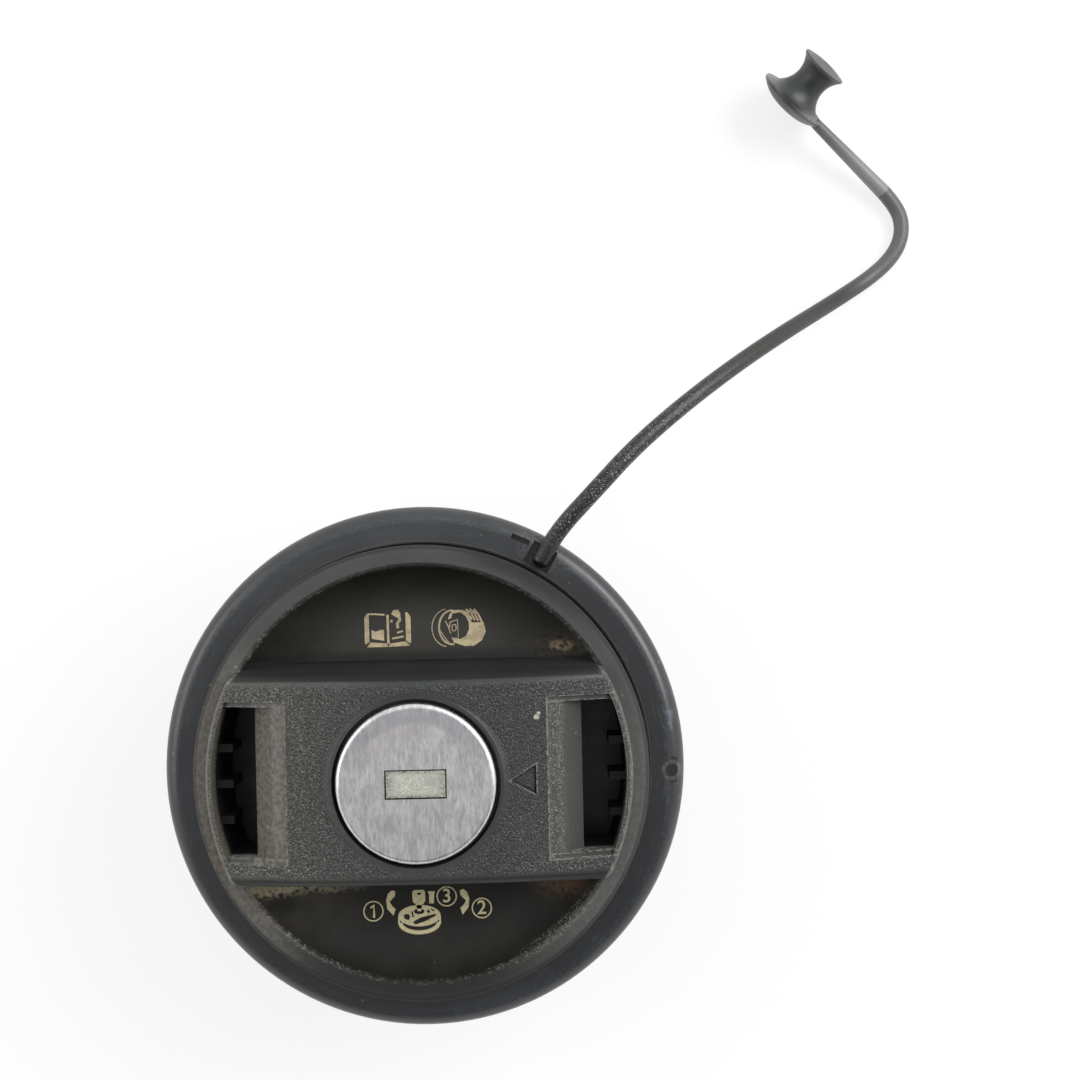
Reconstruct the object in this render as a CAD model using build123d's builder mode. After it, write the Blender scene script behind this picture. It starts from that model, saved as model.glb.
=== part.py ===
"""Locking fuel filler cap, standing on its closure, with its moulded tether.

Millimetres, +Z up. The origin is on the cap's axis, at the foot of the closure.
The grip bar lies along X. Each named piece is one solid, or one group of like solids.
"""
import os
from math import cos, pi, radians, sin, sqrt, tan

from build123d import *

os.makedirs("parts", exist_ok=True)

# ---------------------------------------------------------------- fits
running_fit = 0.1        # radial play of a turning shaft
loose_fit = 0.3          # play between free-moving faces
press_fit = 0.02         # gap left between pressed-in pieces

# ---------------------------------------------------------------- closure
neck_radius = 21.0
neck_wall = 3.0
flange_bottom = 25.0
flange_thickness = 2.5
flange_overhang = 11.4
flange_radius = neck_radius + flange_overhang
flange_edge = 0.5
valve_web_bottom = 8.0
valve_web_thickness = 2.0
valve_port_radius = 9.0
lug_count = 2
lug_reach = 3.4
lug_bottom = 4.0
lug_height = 3.6
lug_angle = 56.0
lug_lead = 1.2
valve_rib_count = 4
valve_rib_width = 1.6
valve_rib_height = 8.0
vent_count = 3
vent_radius = 1.1
vent_pitch_radius = 14.5
spigot_wall = 1.5
spigot_height = 1.8
neck_bore = neck_radius - neck_wall
flange_top = flange_bottom + flange_thickness
valve_web_top = valve_web_bottom + valve_web_thickness

# ---------------------------------------------------------------- drive ring
drive_inner = 21.0
drive_wall = 3.3
drive_height = 4.0
drive_notch_count = 12
drive_notch_depth = 2.9
drive_notch_play = 0.5
drive_outer = drive_inner + drive_wall

# ---------------------------------------------------------------- gasket
gasket_width = 7.2
gasket_height = 3.2
gasket_lip = 1.1

# ---------------------------------------------------------------- valve cage
cage_wall = 1.6
cage_recess = 0.8
cage_port_count = 6
cage_port_radius = 2.4
cage_port_pitch_radius = 10.5
cage_centre_port = 3.0

# ---------------------------------------------------------------- valves
pressure_valve_radius = 11.4
pressure_valve_thickness = 2.0
pressure_valve_edge = 0.2
pressure_seal_thickness = 0.8
pressure_seal_width = 2.2
pressure_seal_inset = 0.2
vacuum_port_count = 4
vacuum_port_radius = 0.7
vacuum_port_pitch_radius = 3.0
vacuum_disc_radius = 5.0
vacuum_disc_thickness = 1.2
vacuum_stem_radius = 1.3
vacuum_stem_height = 6.6
washer_radius = 3.2
washer_thickness = 0.8
pressure_wire = 0.9
pressure_coil_radius = 8.0
pressure_coils = 5.0
vacuum_wire = 0.45
vacuum_coil_radius = 2.1
vacuum_coils = 4.0

# ---------------------------------------------------------------- cover
cover_skirt = 2.6
cover_radius = flange_radius + cover_skirt
cover_drop = 1.7
cover_bottom = flange_bottom - cover_drop
dish_lift = 7.0
dish_floor = flange_top + dish_lift
dish_depth = 5.2
cover_top = dish_floor + dish_depth
rim_width = 2.7
rim_inner = cover_radius - rim_width
rim_edge = 0.4
rim_round = 1.0
rim_base_width = 3.7
rim_solid_inner = cover_radius - rim_base_width
snap_lip_reach = 1.3
snap_lip_height = 1.4
dish_curve_width = 9.3
dish_floor_radius = rim_inner - dish_curve_width
floor_thickness = 2.2
groove_depth = 0.8
groove_lift = 5.0
groove_bottom = cover_bottom + groove_lift
groove_height = 2.4
floor_under = dish_floor - floor_thickness

# ---------------------------------------------------------------- grip bar
bar_rise = 9.1
bar_top = cover_top + bar_rise
bar_crown_share = 0.76   # fall of the crown over its length, against the bar's height
bar_half_width = 14.9
bar_foot_spread = 2.5
bar_edge = 1.2
bar_corner = 2.0
well_start = 19.4
well_lip = 21.7
well_inner = 24.6
well_lip_drop = 0.75
well_ramp_drop = 3.0
well_half_width = 11.3
well_rib_count = 3
well_rib_pitch = 5.5
well_rib_shift = -1.0
well_rib_width = 1.2
well_rib_reach = 2.5
well_rib_drop = 0.7
well_rib_top = cover_top - well_rib_drop
well_rebate_width = 0.8
well_rebate_depth = 0.5
core_start = 15.4
core_wall = 2.2
core_half_width = 9.0
core_roof = 7.8
mark_tip = 14.1
mark_base = 17.6
mark_half_width = 2.1
mark_depth = 0.35

# ---------------------------------------------------------------- lock
lock_bore = 12.45
lock_rim_width = 0.5
lock_rim_sink = 0.1
lock_rim_slope = 1.2
lock_rim_drop = 1.0
lock_face_play = 0.6
lock_face_radius = lock_bore - lock_face_play
lock_face_rise = 0.6
lock_face_plate = 0.5
lock_face_skirt = 1.9
lock_face_edge = 0.75
lock_face_wall = 0.85
barrel_head_radius = lock_face_radius - lock_face_wall
barrel_head_height = 2.2
housing_wall = 3.45
barrel_radius = lock_bore - housing_wall
barrel_head_gap = 0.3
barrel_neck_radius = 5.0
barrel_sink = 0.2
housing_fit = 0.1
housing_flange_play = 1.7
housing_flange_radius = drive_inner - housing_flange_play
housing_flange_thickness = 1.5
housing_web = 1.0
housing_channel_depth = 0.9
housing_channel_play = 0.3
clip_recess_radius = 8.0
clip_radius = 6.8
clip_thickness = 0.5
clip_groove_depth = 0.8
clip_mouth = 5.0
o_ring_section = 0.7
o_ring_drop = 1.3

# ---------------------------------------------------------------- key way and shutter
key_width = 8.8
key_thickness = 2.4
key_offset = -0.7
key_floor = 1.0
shutter_length = 8.7
shutter_width = 3.9
shutter_thickness = 0.5
shutter_play = 0.2
shutter_sink = 0.15
shutter_axis_y = 1.4
shutter_axis_drop = 1.2
shutter_pin_radius = 0.3
shutter_pin_length = 13.0
shutter_knuckle_radius = 0.6
shutter_pocket_depth = 4.3
shutter_pocket_play = 0.4
shutter_knuckle_length = 8.0
shutter_knuckle_root = 0.96
shutter_wire = 0.14
shutter_spring_radius = 0.46
shutter_spring_coils = 3.5
shutter_spring_length = 1.5

# ---------------------------------------------------------------- wafers
wafer_count = 5
wafer_gap_share = 0.5    # gap between wafers, against their thickness
wafer_top_gap = 0.8
wafer_half_width = 3.5
wafer_play = 0.1
wafer_travel = 0.7
wafer_first = 2.0
wafer_key_play = 0.8
wafer_ear_reach = 2.1
wafer_ear_width = 1.0
wafer_ear_start = -1.2
wafer_spring_offset = 1.26
wafer_wire_share = 0.078  # wire and coil radii, against the pitch of the wafers
wafer_coil_share = 0.278
wafer_spring_length = 4.0
wafer_spring_coils = 6.0

# ---------------------------------------------------------------- bolt and guide
pin_throw = 2.0
pin_radius = 1.2
pin_start_angle = -45.0
bolt_thickness = 1.8
bolt_half_width = 6.0
bolt_back = -6.4
bolt_shoulder = 14.5
bolt_tip_gap = 0.5
bolt_tip_width = 3.6
bolt_tip_edge = 0.5
bolt_play = 0.2
bolt_back_play = 0.4
guide_floor = 0.7
guide_gap = 0.5
screw_inset = 7.6
screw_place = housing_flange_radius - screw_inset
screw_radius = 1.0
screw_head_radius = 2.0
screw_head_height = 1.3
screw_length = 9.0
screw_recess = 0.3
screw_hole_play = 0.15
screw_drive_width = 0.6
screw_drive_depth = 0.6

# ---------------------------------------------------------------- collar
collar_width = 6.0
collar_radius = cover_radius + collar_width
collar_lift = 0.9
collar_bottom = cover_bottom + collar_lift
collar_height = 9.3
collar_top = collar_bottom + collar_height
collar_roll = 2.5
collar_edge = 0.3
collar_inner_wall = 2.0
collar_outer_wall = 2.0
collar_plate = 2.5
notch_angle = 59.3
notch_length = 3.6
notch_rim = 1.4
notch_half_width = 1.8
notch_side_width = 2.4
notch_depth = 1.7
notch_block = 12.0
slot_angle = 65.8
slot_length = 3.0
slot_width = 0.8
slot_inset = 2.1
dent_angle = -1.8
dent_inset = 1.8
dent_length = 4.0
dent_width = 1.1
dent_depth = 0.4

# ---------------------------------------------------------------- tether
cord_radius = 1.35
toe_edge = 1.0
cord_exit_lift = 1.6
cord_exit_height = collar_top + cord_exit_lift
cord_exit_run = 3.4
cord_bend_share = 0.45
anchor_flange_radius = 6.5
anchor_tilt = 28.0
anchor_heading = 44.0
anchor_length = 8.4
anchor_head_radius = 4.2
anchor_waist_radius = 2.9
anchor_x = 65.2
anchor_y = 111.5
anchor_tail_radius = 0.95
anchor_back = 1.7
anchor_back_flat = 2.0
anchor_back_radius = 7.0
anchor_back_clear = 0.25
anchor_lip = 0.8
anchor_crown = 0.5
anchor_shoulder_radius = 4.9


def coil_spring(wire, mean_radius, length, coils):
    """A round-wire helix along +Z whose ends stay inside its length."""
    reach = length - 2 * wire
    helix = Helix(pitch=reach / coils, height=reach, radius=mean_radius)
    start = Plane(origin=helix @ 0, z_dir=helix % 0)
    return Pos(0, 0, wire) * sweep(start * Circle(wire), path=helix)


# ================================================================ closure
with BuildPart() as closure:
    with BuildSketch(Plane.XZ):
        Polygon(
            (neck_bore, 0),
            (neck_radius, 0),
            (neck_radius, flange_bottom),
            (flange_radius, flange_bottom),
            (flange_radius, flange_top),
            (0, flange_top),
            (0, flange_bottom),
            (neck_bore, flange_bottom),
            (neck_bore, valve_web_top),
            (valve_port_radius, valve_web_top),
            (valve_port_radius, valve_web_bottom),
            (neck_bore, valve_web_bottom),
            align=None,
        )
    revolve(axis=Axis.Z)
    outer_edges = closure.edges().filter_by(GeomType.CIRCLE)
    chamfer(outer_edges.filter_by(lambda e: abs(e.radius - flange_radius) < 0.01), flange_edge)
    # bayonet lugs, with a lead-in on their upper face
    with BuildSketch(Plane.XY.offset(lug_bottom)):
        Circle(neck_radius + lug_reach)
        Circle(neck_radius - neck_wall / 2, mode=Mode.SUBTRACT)
        with PolarLocations(0, lug_count):
            Rectangle(
                2 * (neck_radius + lug_reach),
                2 * (neck_radius + lug_reach) * sin(radians(lug_angle / 2)),
                mode=Mode.INTERSECT,
            )
    extrude(amount=lug_height)
    lug_tops = closure.faces().filter_by(Axis.Z).filter_by_position(
        Axis.Z, lug_bottom + lug_height - 0.01, lug_bottom + lug_height + 0.01)
    lug_arcs = lug_tops.edges().filter_by(GeomType.CIRCLE)
    chamfer(lug_arcs.filter_by(lambda e: e.radius > neck_radius + lug_reach / 2), lug_lead)
    # ribs that centre the pressure valve
    with BuildSketch(Plane.XY.offset(valve_web_top)):
        with PolarLocations((pressure_valve_radius + loose_fit + neck_bore + neck_wall / 2) / 2,
                            valve_rib_count):
            Rectangle(neck_bore + neck_wall / 2 - pressure_valve_radius - loose_fit,
                      valve_rib_width)
    extrude(amount=valve_rib_height)
    # spigot that locates the drive ring
    with BuildSketch(Plane.XY.offset(flange_top)):
        Circle(drive_outer + press_fit + spigot_wall)
        Circle(drive_outer + press_fit, mode=Mode.SUBTRACT)
    extrude(amount=spigot_height)
    with Locations((0, 0, flange_top)):
        with PolarLocations(vent_pitch_radius, vent_count, start_angle=45):
            Hole(vent_radius, depth=flange_thickness)
closure.part.label = "closure"
export_step(closure.part, "parts/closure.step")

with BuildPart() as drive_ring:
    bolt_slot = bolt_tip_width + 2 * drive_notch_play
    with BuildSketch(Plane.XY.offset(flange_top)):
        Circle(drive_outer)
        Circle(drive_inner, mode=Mode.SUBTRACT)
        with PolarLocations(drive_inner, drive_notch_count):
            Rectangle(2 * drive_notch_depth, bolt_slot, mode=Mode.SUBTRACT)
    extrude(amount=drive_height)
drive_ring.part.label = "drive_ring"
export_step(drive_ring.part, "parts/drive_ring.step")

with BuildPart() as neck_gasket:
    gasket_inner = neck_radius + running_fit
    gasket_outer = gasket_inner + gasket_width
    with BuildSketch(Plane.XZ):
        Polygon(
            (gasket_inner, flange_bottom),
            (gasket_outer, flange_bottom),
            (gasket_outer, flange_bottom - gasket_height + gasket_lip),
            (gasket_outer - gasket_lip, flange_bottom - gasket_height),
            (gasket_outer - 2 * gasket_lip, flange_bottom - gasket_height),
            (gasket_inner + gasket_lip, flange_bottom - gasket_height + gasket_lip),
            (gasket_inner, flange_bottom - gasket_height + gasket_lip),
            align=None,
        )
    revolve(axis=Axis.Z)
neck_gasket.part.label = "neck_gasket"
export_step(neck_gasket.part, "parts/neck_gasket.step")

with BuildPart() as valve_cage:
    cage_radius = neck_bore - running_fit
    with BuildSketch(Plane.XY.offset(cage_recess)):
        Circle(cage_radius)
    extrude(amount=valve_web_bottom - cage_recess)
    with BuildSketch(Plane.XY.offset(cage_recess + cage_wall)):
        Circle(cage_radius - cage_wall)
    extrude(amount=valve_web_bottom, mode=Mode.SUBTRACT)
    with Locations((0, 0, cage_recess + cage_wall)):
        with PolarLocations(cage_port_pitch_radius, cage_port_count):
            Hole(cage_port_radius, depth=cage_wall)
        Hole(cage_centre_port, depth=cage_wall)
valve_cage.part.label = "valve_cage"
export_step(valve_cage.part, "parts/valve_cage.step")

# ================================================================ valves
seal_bottom = valve_web_top
valve_bottom = seal_bottom + pressure_seal_thickness
valve_top = valve_bottom + pressure_valve_thickness

with BuildPart() as pressure_valve:
    with BuildSketch(Plane.XY.offset(valve_bottom)):
        Circle(pressure_valve_radius)
        Circle(vacuum_stem_radius + running_fit, mode=Mode.SUBTRACT)
        with PolarLocations(vacuum_port_pitch_radius, vacuum_port_count):
            Circle(vacuum_port_radius, mode=Mode.SUBTRACT)
    extrude(amount=pressure_valve_thickness)
    chamfer(pressure_valve.edges().filter_by(GeomType.CIRCLE).sort_by(SortBy.RADIUS)[-2:],
            pressure_valve_edge)
pressure_valve.part.label = "pressure_valve"
export_step(pressure_valve.part, "parts/pressure_valve.step")

with BuildPart() as pressure_seal:
    with BuildSketch(Plane.XY.offset(seal_bottom)):
        Circle(pressure_valve_radius - pressure_seal_inset)
        Circle(pressure_valve_radius - pressure_seal_inset - pressure_seal_width,
               mode=Mode.SUBTRACT)
    extrude(amount=pressure_seal_thickness)
pressure_seal.part.label = "pressure_seal"
export_step(pressure_seal.part, "parts/pressure_seal.step")

with BuildPart() as vacuum_valve:
    with BuildSketch(Plane.XY.offset(valve_bottom - vacuum_disc_thickness)):
        Circle(vacuum_disc_radius)
    extrude(amount=vacuum_disc_thickness)
    with BuildSketch(Plane.XY.offset(valve_bottom)):
        Circle(vacuum_stem_radius)
    extrude(amount=vacuum_stem_height)
vacuum_valve.part.label = "vacuum_valve"
export_step(vacuum_valve.part, "parts/vacuum_valve.step")

washer_bottom = valve_bottom + vacuum_stem_height - 2 * washer_thickness
with BuildPart() as vacuum_washer:
    with BuildSketch(Plane.XY.offset(washer_bottom)):
        Circle(washer_radius)
        Circle(vacuum_stem_radius + press_fit, mode=Mode.SUBTRACT)
    extrude(amount=washer_thickness)
vacuum_washer.part.label = "vacuum_washer"
export_step(vacuum_washer.part, "parts/vacuum_washer.step")

pressure_spring_length = flange_bottom - valve_top
pressure_spring = Pos(0, 0, valve_top) * coil_spring(
    pressure_wire / 2, pressure_coil_radius, pressure_spring_length, pressure_coils)
pressure_spring.label = "pressure_spring"
export_step(pressure_spring, "parts/pressure_spring.step")

vacuum_spring_length = washer_bottom - valve_top
vacuum_spring = Pos(0, 0, valve_top) * coil_spring(
    vacuum_wire / 2, vacuum_coil_radius, vacuum_spring_length, vacuum_coils)
vacuum_spring.label = "vacuum_spring"
export_step(vacuum_spring, "parts/vacuum_spring.step")

# ================================================================ cover
flange_pocket = flange_radius + loose_fit
dish_run = rim_inner - rim_edge - dish_floor_radius
dish_rise = cover_top - rim_edge - dish_floor
dish_radius = (dish_run ** 2 + dish_rise ** 2) / (2 * dish_rise)
bar_foot = bar_half_width + bar_foot_spread
crown_sag = bar_crown_share * bar_rise
bar_arch_radius = (cover_radius ** 2 + crown_sag ** 2) / (2 * crown_sag)
core_top = bar_top - core_roof
lock_rim_top = bar_top - lock_rim_sink


def crown_height(x):
    """Height of the bar's crowned top at a distance from the axis."""
    return bar_top - bar_arch_radius + sqrt(bar_arch_radius ** 2 - x ** 2)


def crown_face(drop):
    """Side view of the bar under its crowned top, lowered by a drop."""
    shoulder = bar_top - crown_sag - drop
    sides = Polyline((-cover_radius, shoulder), (-cover_radius, floor_under),
                     (cover_radius, floor_under), (cover_radius, shoulder))
    crown = ThreePointArc((cover_radius, shoulder), (0, bar_top - drop), (-cover_radius, shoulder))
    return Plane.XZ * make_face(sides.edges() + crown.edges())


bar_side_view = crown_face(0)
mark_side_view = crown_face(mark_depth)

with BuildPart() as grip_bar:
    # cross-section, wider at its foot
    with BuildSketch(Plane.YZ):
        Polygon(
            (-bar_foot, floor_under),
            (bar_foot, floor_under),
            (bar_half_width, bar_top),
            (-bar_half_width, bar_top),
            align=None,
        )
    extrude(amount=cover_radius, both=True)
    with BuildSketch(Plane.XY.offset(floor_under)):
        Circle(rim_inner)
    extrude(amount=bar_top, mode=Mode.INTERSECT)
    # corners rounded in plan, then the crown and its whole edge
    corners = grip_bar.edges().filter_by(lambda e: e.bounding_box().size.Z > bar_rise)
    fillet(corners, bar_corner)
    extrude(bar_side_view, amount=cover_radius, both=True, mode=Mode.INTERSECT)
    fillet(grip_bar.edges().filter_by(
        lambda e: e.bounding_box().min.Z > cover_top), bar_edge)

# the space that a window well takes out of the +X end of the bar
with BuildPart() as window_well:
    with BuildSketch(Plane.XZ):
        Polygon(
            (well_start, crown_height(well_start)),
            (well_lip, crown_height(well_lip) - well_lip_drop),
            (well_inner, crown_height(well_inner) - well_ramp_drop),
            (well_inner, flange_top),
            (cover_radius, flange_top),
            (cover_radius, bar_top + bar_edge),
            (well_start, bar_top + bar_edge),
            align=None,
        )
    extrude(amount=well_half_width, both=True)
    # shallow rebate along both long sides
    with BuildSketch(Plane.XZ):
        Polygon(
            (well_start, crown_height(well_start)),
            (well_start + well_rebate_depth, crown_height(well_start) - well_rebate_depth),
            (rim_inner, crown_height(rim_inner) - well_rebate_depth),
            (rim_inner, bar_top + bar_edge),
            (well_start, bar_top + bar_edge),
            align=None,
        )
    extrude(amount=well_half_width + well_rebate_width, both=True)
    with BuildSketch(Plane.XY.offset(flange_top)):
        Circle(rim_solid_inner)
    extrude(amount=bar_top, mode=Mode.INTERSECT)
    # the ribs stay standing on the outer wall
    rib_room = rim_solid_inner - well_rib_reach
    with BuildSketch(Plane.XY.offset(flange_top)):
        with Locations((rib_room + cover_radius / 2, well_rib_shift)):
            with GridLocations(0, well_rib_pitch, 1, well_rib_count):
                Rectangle(cover_radius, well_rib_width)
    extrude(amount=well_rib_top - flange_top, mode=Mode.SUBTRACT)

with BuildPart() as cover:
    # rim, dish and outer wall
    with BuildSketch(Plane.XZ):
        with BuildLine():
            Line((0, floor_under), (0, dish_floor))
            Line((0, dish_floor), (dish_floor_radius, dish_floor))
            dish = RadiusArc((dish_floor_radius, dish_floor),
                             (rim_inner - rim_edge, cover_top - rim_edge), -dish_radius)
            Polyline(dish @ 1, (rim_inner, cover_top), (cover_radius - rim_round, cover_top))
            RadiusArc((cover_radius - rim_round, cover_top),
                      (cover_radius, cover_top - rim_round), rim_round)
            Polyline(
                (cover_radius, cover_top - rim_round),
                (cover_radius, groove_bottom + groove_height),
                (cover_radius - groove_depth, groove_bottom + groove_height),
                (cover_radius - groove_depth, groove_bottom),
                (cover_radius, groove_bottom),
                (cover_radius, cover_bottom),
                (flange_pocket - snap_lip_reach, cover_bottom),
                (flange_pocket - snap_lip_reach, cover_bottom + snap_lip_height),
                (flange_pocket, cover_bottom + snap_lip_height),
                (flange_pocket, flange_top + loose_fit),
                (rim_solid_inner, flange_top + loose_fit),
                (rim_solid_inner, cover_top - 2 * floor_thickness),
                (dish_floor_radius + floor_thickness, floor_under),
                (0, floor_under),
            )
        make_face()
    revolve(axis=Axis.Z)
    add(grip_bar.part)
    # raised, sloping rim round the lock
    with BuildSketch(Plane.XZ):
        Polygon(
            (0, floor_under),
            (lock_bore + lock_rim_width + lock_rim_slope, floor_under),
            (lock_bore + lock_rim_width + lock_rim_slope, lock_rim_top - lock_rim_drop),
            (lock_bore + lock_rim_width, lock_rim_top),
            (0, lock_rim_top),
            align=None,
        )
    revolve(axis=Axis.Z)
    with BuildSketch(Plane.XY.offset(floor_under)):
        Circle(lock_bore)
    extrude(amount=bar_top, mode=Mode.SUBTRACT)
    add(window_well.part, mode=Mode.SUBTRACT)
    mirror(window_well.part, about=Plane.YZ, mode=Mode.SUBTRACT)
    # hollows under the bar, between the lock and the wells
    core_length = well_inner - core_wall - core_start
    with BuildSketch(Plane.XY.offset(floor_under)):
        with GridLocations(2 * core_start + core_length, 0, 2, 1):
            Rectangle(core_length, 2 * core_half_width)
    extrude(amount=core_top - floor_under, mode=Mode.SUBTRACT)
    with BuildSketch(Plane.XY.offset(floor_under)):
        with GridLocations(2 * screw_place, 2 * screw_place, 2, 2):
            Circle(screw_radius + press_fit)
    extrude(amount=screw_length, mode=Mode.SUBTRACT)
    # pointer mark, sunk to a constant depth under the crown
    with BuildSketch(Plane.XY.offset(cover_top)):
        Polygon((mark_tip, 0), (mark_base, mark_half_width), (mark_base, -mark_half_width),
                align=None)
    pointer = extrude(amount=bar_top - cover_top, mode=Mode.PRIVATE)
    pointer -= extrude(mark_side_view, amount=cover_radius, both=True, mode=Mode.PRIVATE)
    add(pointer, mode=Mode.SUBTRACT)
cover.part.label = "cover"
export_step(cover.part, "parts/cover.step")

# ================================================================ lock housing and guide
housing_bottom = floor_under - housing_flange_thickness
web_top = floor_under + housing_web
lock_face_top = bar_top + lock_face_rise
face_under = lock_face_top - lock_face_plate
barrel_head_bottom = face_under - barrel_head_height
housing_top = barrel_head_bottom - barrel_head_gap
barrel_bottom = housing_bottom + barrel_sink
barrel_body_bottom = web_top + running_fit
pocket_bottom = face_under - shutter_pocket_depth
wafer_bottom = barrel_body_bottom + wafer_first
wafer_stack_top = pocket_bottom - wafer_top_gap
wafer_thickness = (wafer_stack_top - wafer_bottom) / (
    wafer_count + (wafer_count - 1) * wafer_gap_share)
wafer_pitch = wafer_thickness * (1 + wafer_gap_share)
wafer_spring_wire = wafer_wire_share * wafer_pitch
wafer_spring_radius = wafer_coil_share * wafer_pitch
channel_radius = barrel_radius + running_fit + housing_channel_depth

with BuildPart() as lock_housing:
    with BuildSketch(Plane.XY.offset(housing_bottom)):
        Circle(housing_flange_radius)
        with GridLocations(2 * screw_place, 2 * screw_place, 2, 2):
            Circle(screw_radius + screw_hole_play, mode=Mode.SUBTRACT)
    extrude(amount=housing_flange_thickness)
    with BuildSketch(Plane.XY.offset(housing_bottom)):
        Circle(lock_bore - housing_fit)
    extrude(amount=housing_top - housing_bottom)
    with BuildSketch(Plane.XY.offset(web_top)):
        Circle(barrel_radius + running_fit)
    extrude(amount=housing_top - web_top, mode=Mode.SUBTRACT)
    with BuildSketch(Plane.XY.offset(housing_bottom)):
        Circle(barrel_neck_radius + running_fit)
    extrude(amount=housing_top - housing_bottom, mode=Mode.SUBTRACT)
    with BuildSketch(Plane.XY.offset(housing_bottom)):
        Circle(clip_recess_radius)
    extrude(amount=housing_flange_thickness, mode=Mode.SUBTRACT)
    # channels that catch the wafers when the key is out
    with BuildSketch(Plane.XY.offset(web_top)):
        with PolarLocations(0, 2, angular_range=180):
            Rectangle(2 * channel_radius, 2 * (wafer_half_width + housing_channel_play))
        Circle(channel_radius, mode=Mode.INTERSECT)
    extrude(amount=wafer_stack_top + loose_fit - web_top, mode=Mode.SUBTRACT)
lock_housing.part.label = "lock_housing"
export_step(lock_housing.part, "parts/lock_housing.step")

guide_bottom = flange_top + guide_gap
bolt_bottom = guide_bottom + guide_floor + running_fit
channel_half_width = bolt_half_width + bolt_play
head_top = guide_bottom + screw_recess + screw_head_height

with BuildPart() as bolt_guide:
    with BuildSketch(Plane.XY.offset(guide_bottom)):
        Circle(housing_flange_radius)
        with GridLocations(2 * screw_place, 2 * screw_place, 2, 2):
            Circle(screw_radius + screw_hole_play, mode=Mode.SUBTRACT)
    extrude(amount=housing_bottom - guide_bottom)
    channel_back = bolt_back - bolt_back_play
    with BuildSketch(Plane.XY.offset(guide_bottom + guide_floor)):
        with Locations((0, channel_back + housing_flange_radius)):
            Rectangle(2 * channel_half_width, 2 * housing_flange_radius)
    extrude(amount=housing_bottom - guide_bottom, mode=Mode.SUBTRACT)
    with BuildSketch(Plane.XY.offset(guide_bottom)):
        with GridLocations(2 * screw_place, 2 * screw_place, 2, 2):
            Circle(screw_head_radius + screw_hole_play)
    extrude(amount=head_top - guide_bottom, mode=Mode.SUBTRACT)
bolt_guide.part.label = "bolt_guide"
export_step(bolt_guide.part, "parts/bolt_guide.step")

with BuildPart() as guide_screws:
    with BuildSketch(Plane.XY.offset(guide_bottom + screw_recess)):
        with GridLocations(2 * screw_place, 2 * screw_place, 2, 2):
            Circle(screw_head_radius)
    extrude(amount=screw_head_height)
    with BuildSketch(Plane.XY.offset(head_top)):
        with GridLocations(2 * screw_place, 2 * screw_place, 2, 2):
            Circle(screw_radius)
    extrude(amount=screw_length - screw_head_height)
    with BuildSketch(Plane.XY.offset(guide_bottom + screw_recess)):
        with GridLocations(2 * screw_place, 2 * screw_place, 2, 2):
            Rectangle(screw_head_radius, screw_drive_width)
            Rectangle(screw_drive_width, screw_head_radius)
    extrude(amount=screw_drive_depth, mode=Mode.SUBTRACT)
guide_screws.part.label = "guide_screws"
export_step(guide_screws.part, "parts/guide_screws.step")

# ================================================================ bolt
pin_x = pin_throw * cos(radians(pin_start_angle))
pin_y = pin_throw * sin(radians(pin_start_angle))
with BuildPart() as bolt:
    with BuildSketch(Plane.XY.offset(bolt_bottom)):
        Polygon(
            (-bolt_half_width, bolt_back),
            (bolt_half_width, bolt_back),
            (bolt_half_width, bolt_shoulder),
            (bolt_tip_width / 2, bolt_shoulder),
            (bolt_tip_width / 2, drive_inner - bolt_tip_gap),
            (-bolt_tip_width / 2, drive_inner - bolt_tip_gap),
            (-bolt_tip_width / 2, bolt_shoulder),
            (-bolt_half_width, bolt_shoulder),
            align=None,
        )
        with Locations(((pin_x + pin_throw) / 2, pin_y)):
            SlotCenterToCenter(pin_throw - pin_x + press_fit, 2 * (pin_radius + loose_fit),
                               mode=Mode.SUBTRACT)
    extrude(amount=bolt_thickness)
    tip_corners = bolt.edges().filter_by(Axis.Z).group_by(Axis.Y)[-1]
    chamfer(tip_corners, bolt_tip_edge)
bolt.part.label = "bolt"
export_step(bolt.part, "parts/bolt.step")

# ================================================================ barrel
key_way_bottom = barrel_body_bottom + key_floor
shutter_axis_z = lock_face_top - shutter_axis_drop
pin_bottom = bolt_bottom + bolt_play
o_ring_z = barrel_head_bottom - o_ring_drop
o_ring_radius = barrel_radius - o_ring_section
ear_outer = wafer_half_width + wafer_ear_reach
ear_end = wafer_ear_start + wafer_ear_width
spring_y = wafer_half_width + wafer_spring_offset
pocket_back = ear_end - wafer_ear_width - wafer_spring_length - 2 * running_fit

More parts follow.
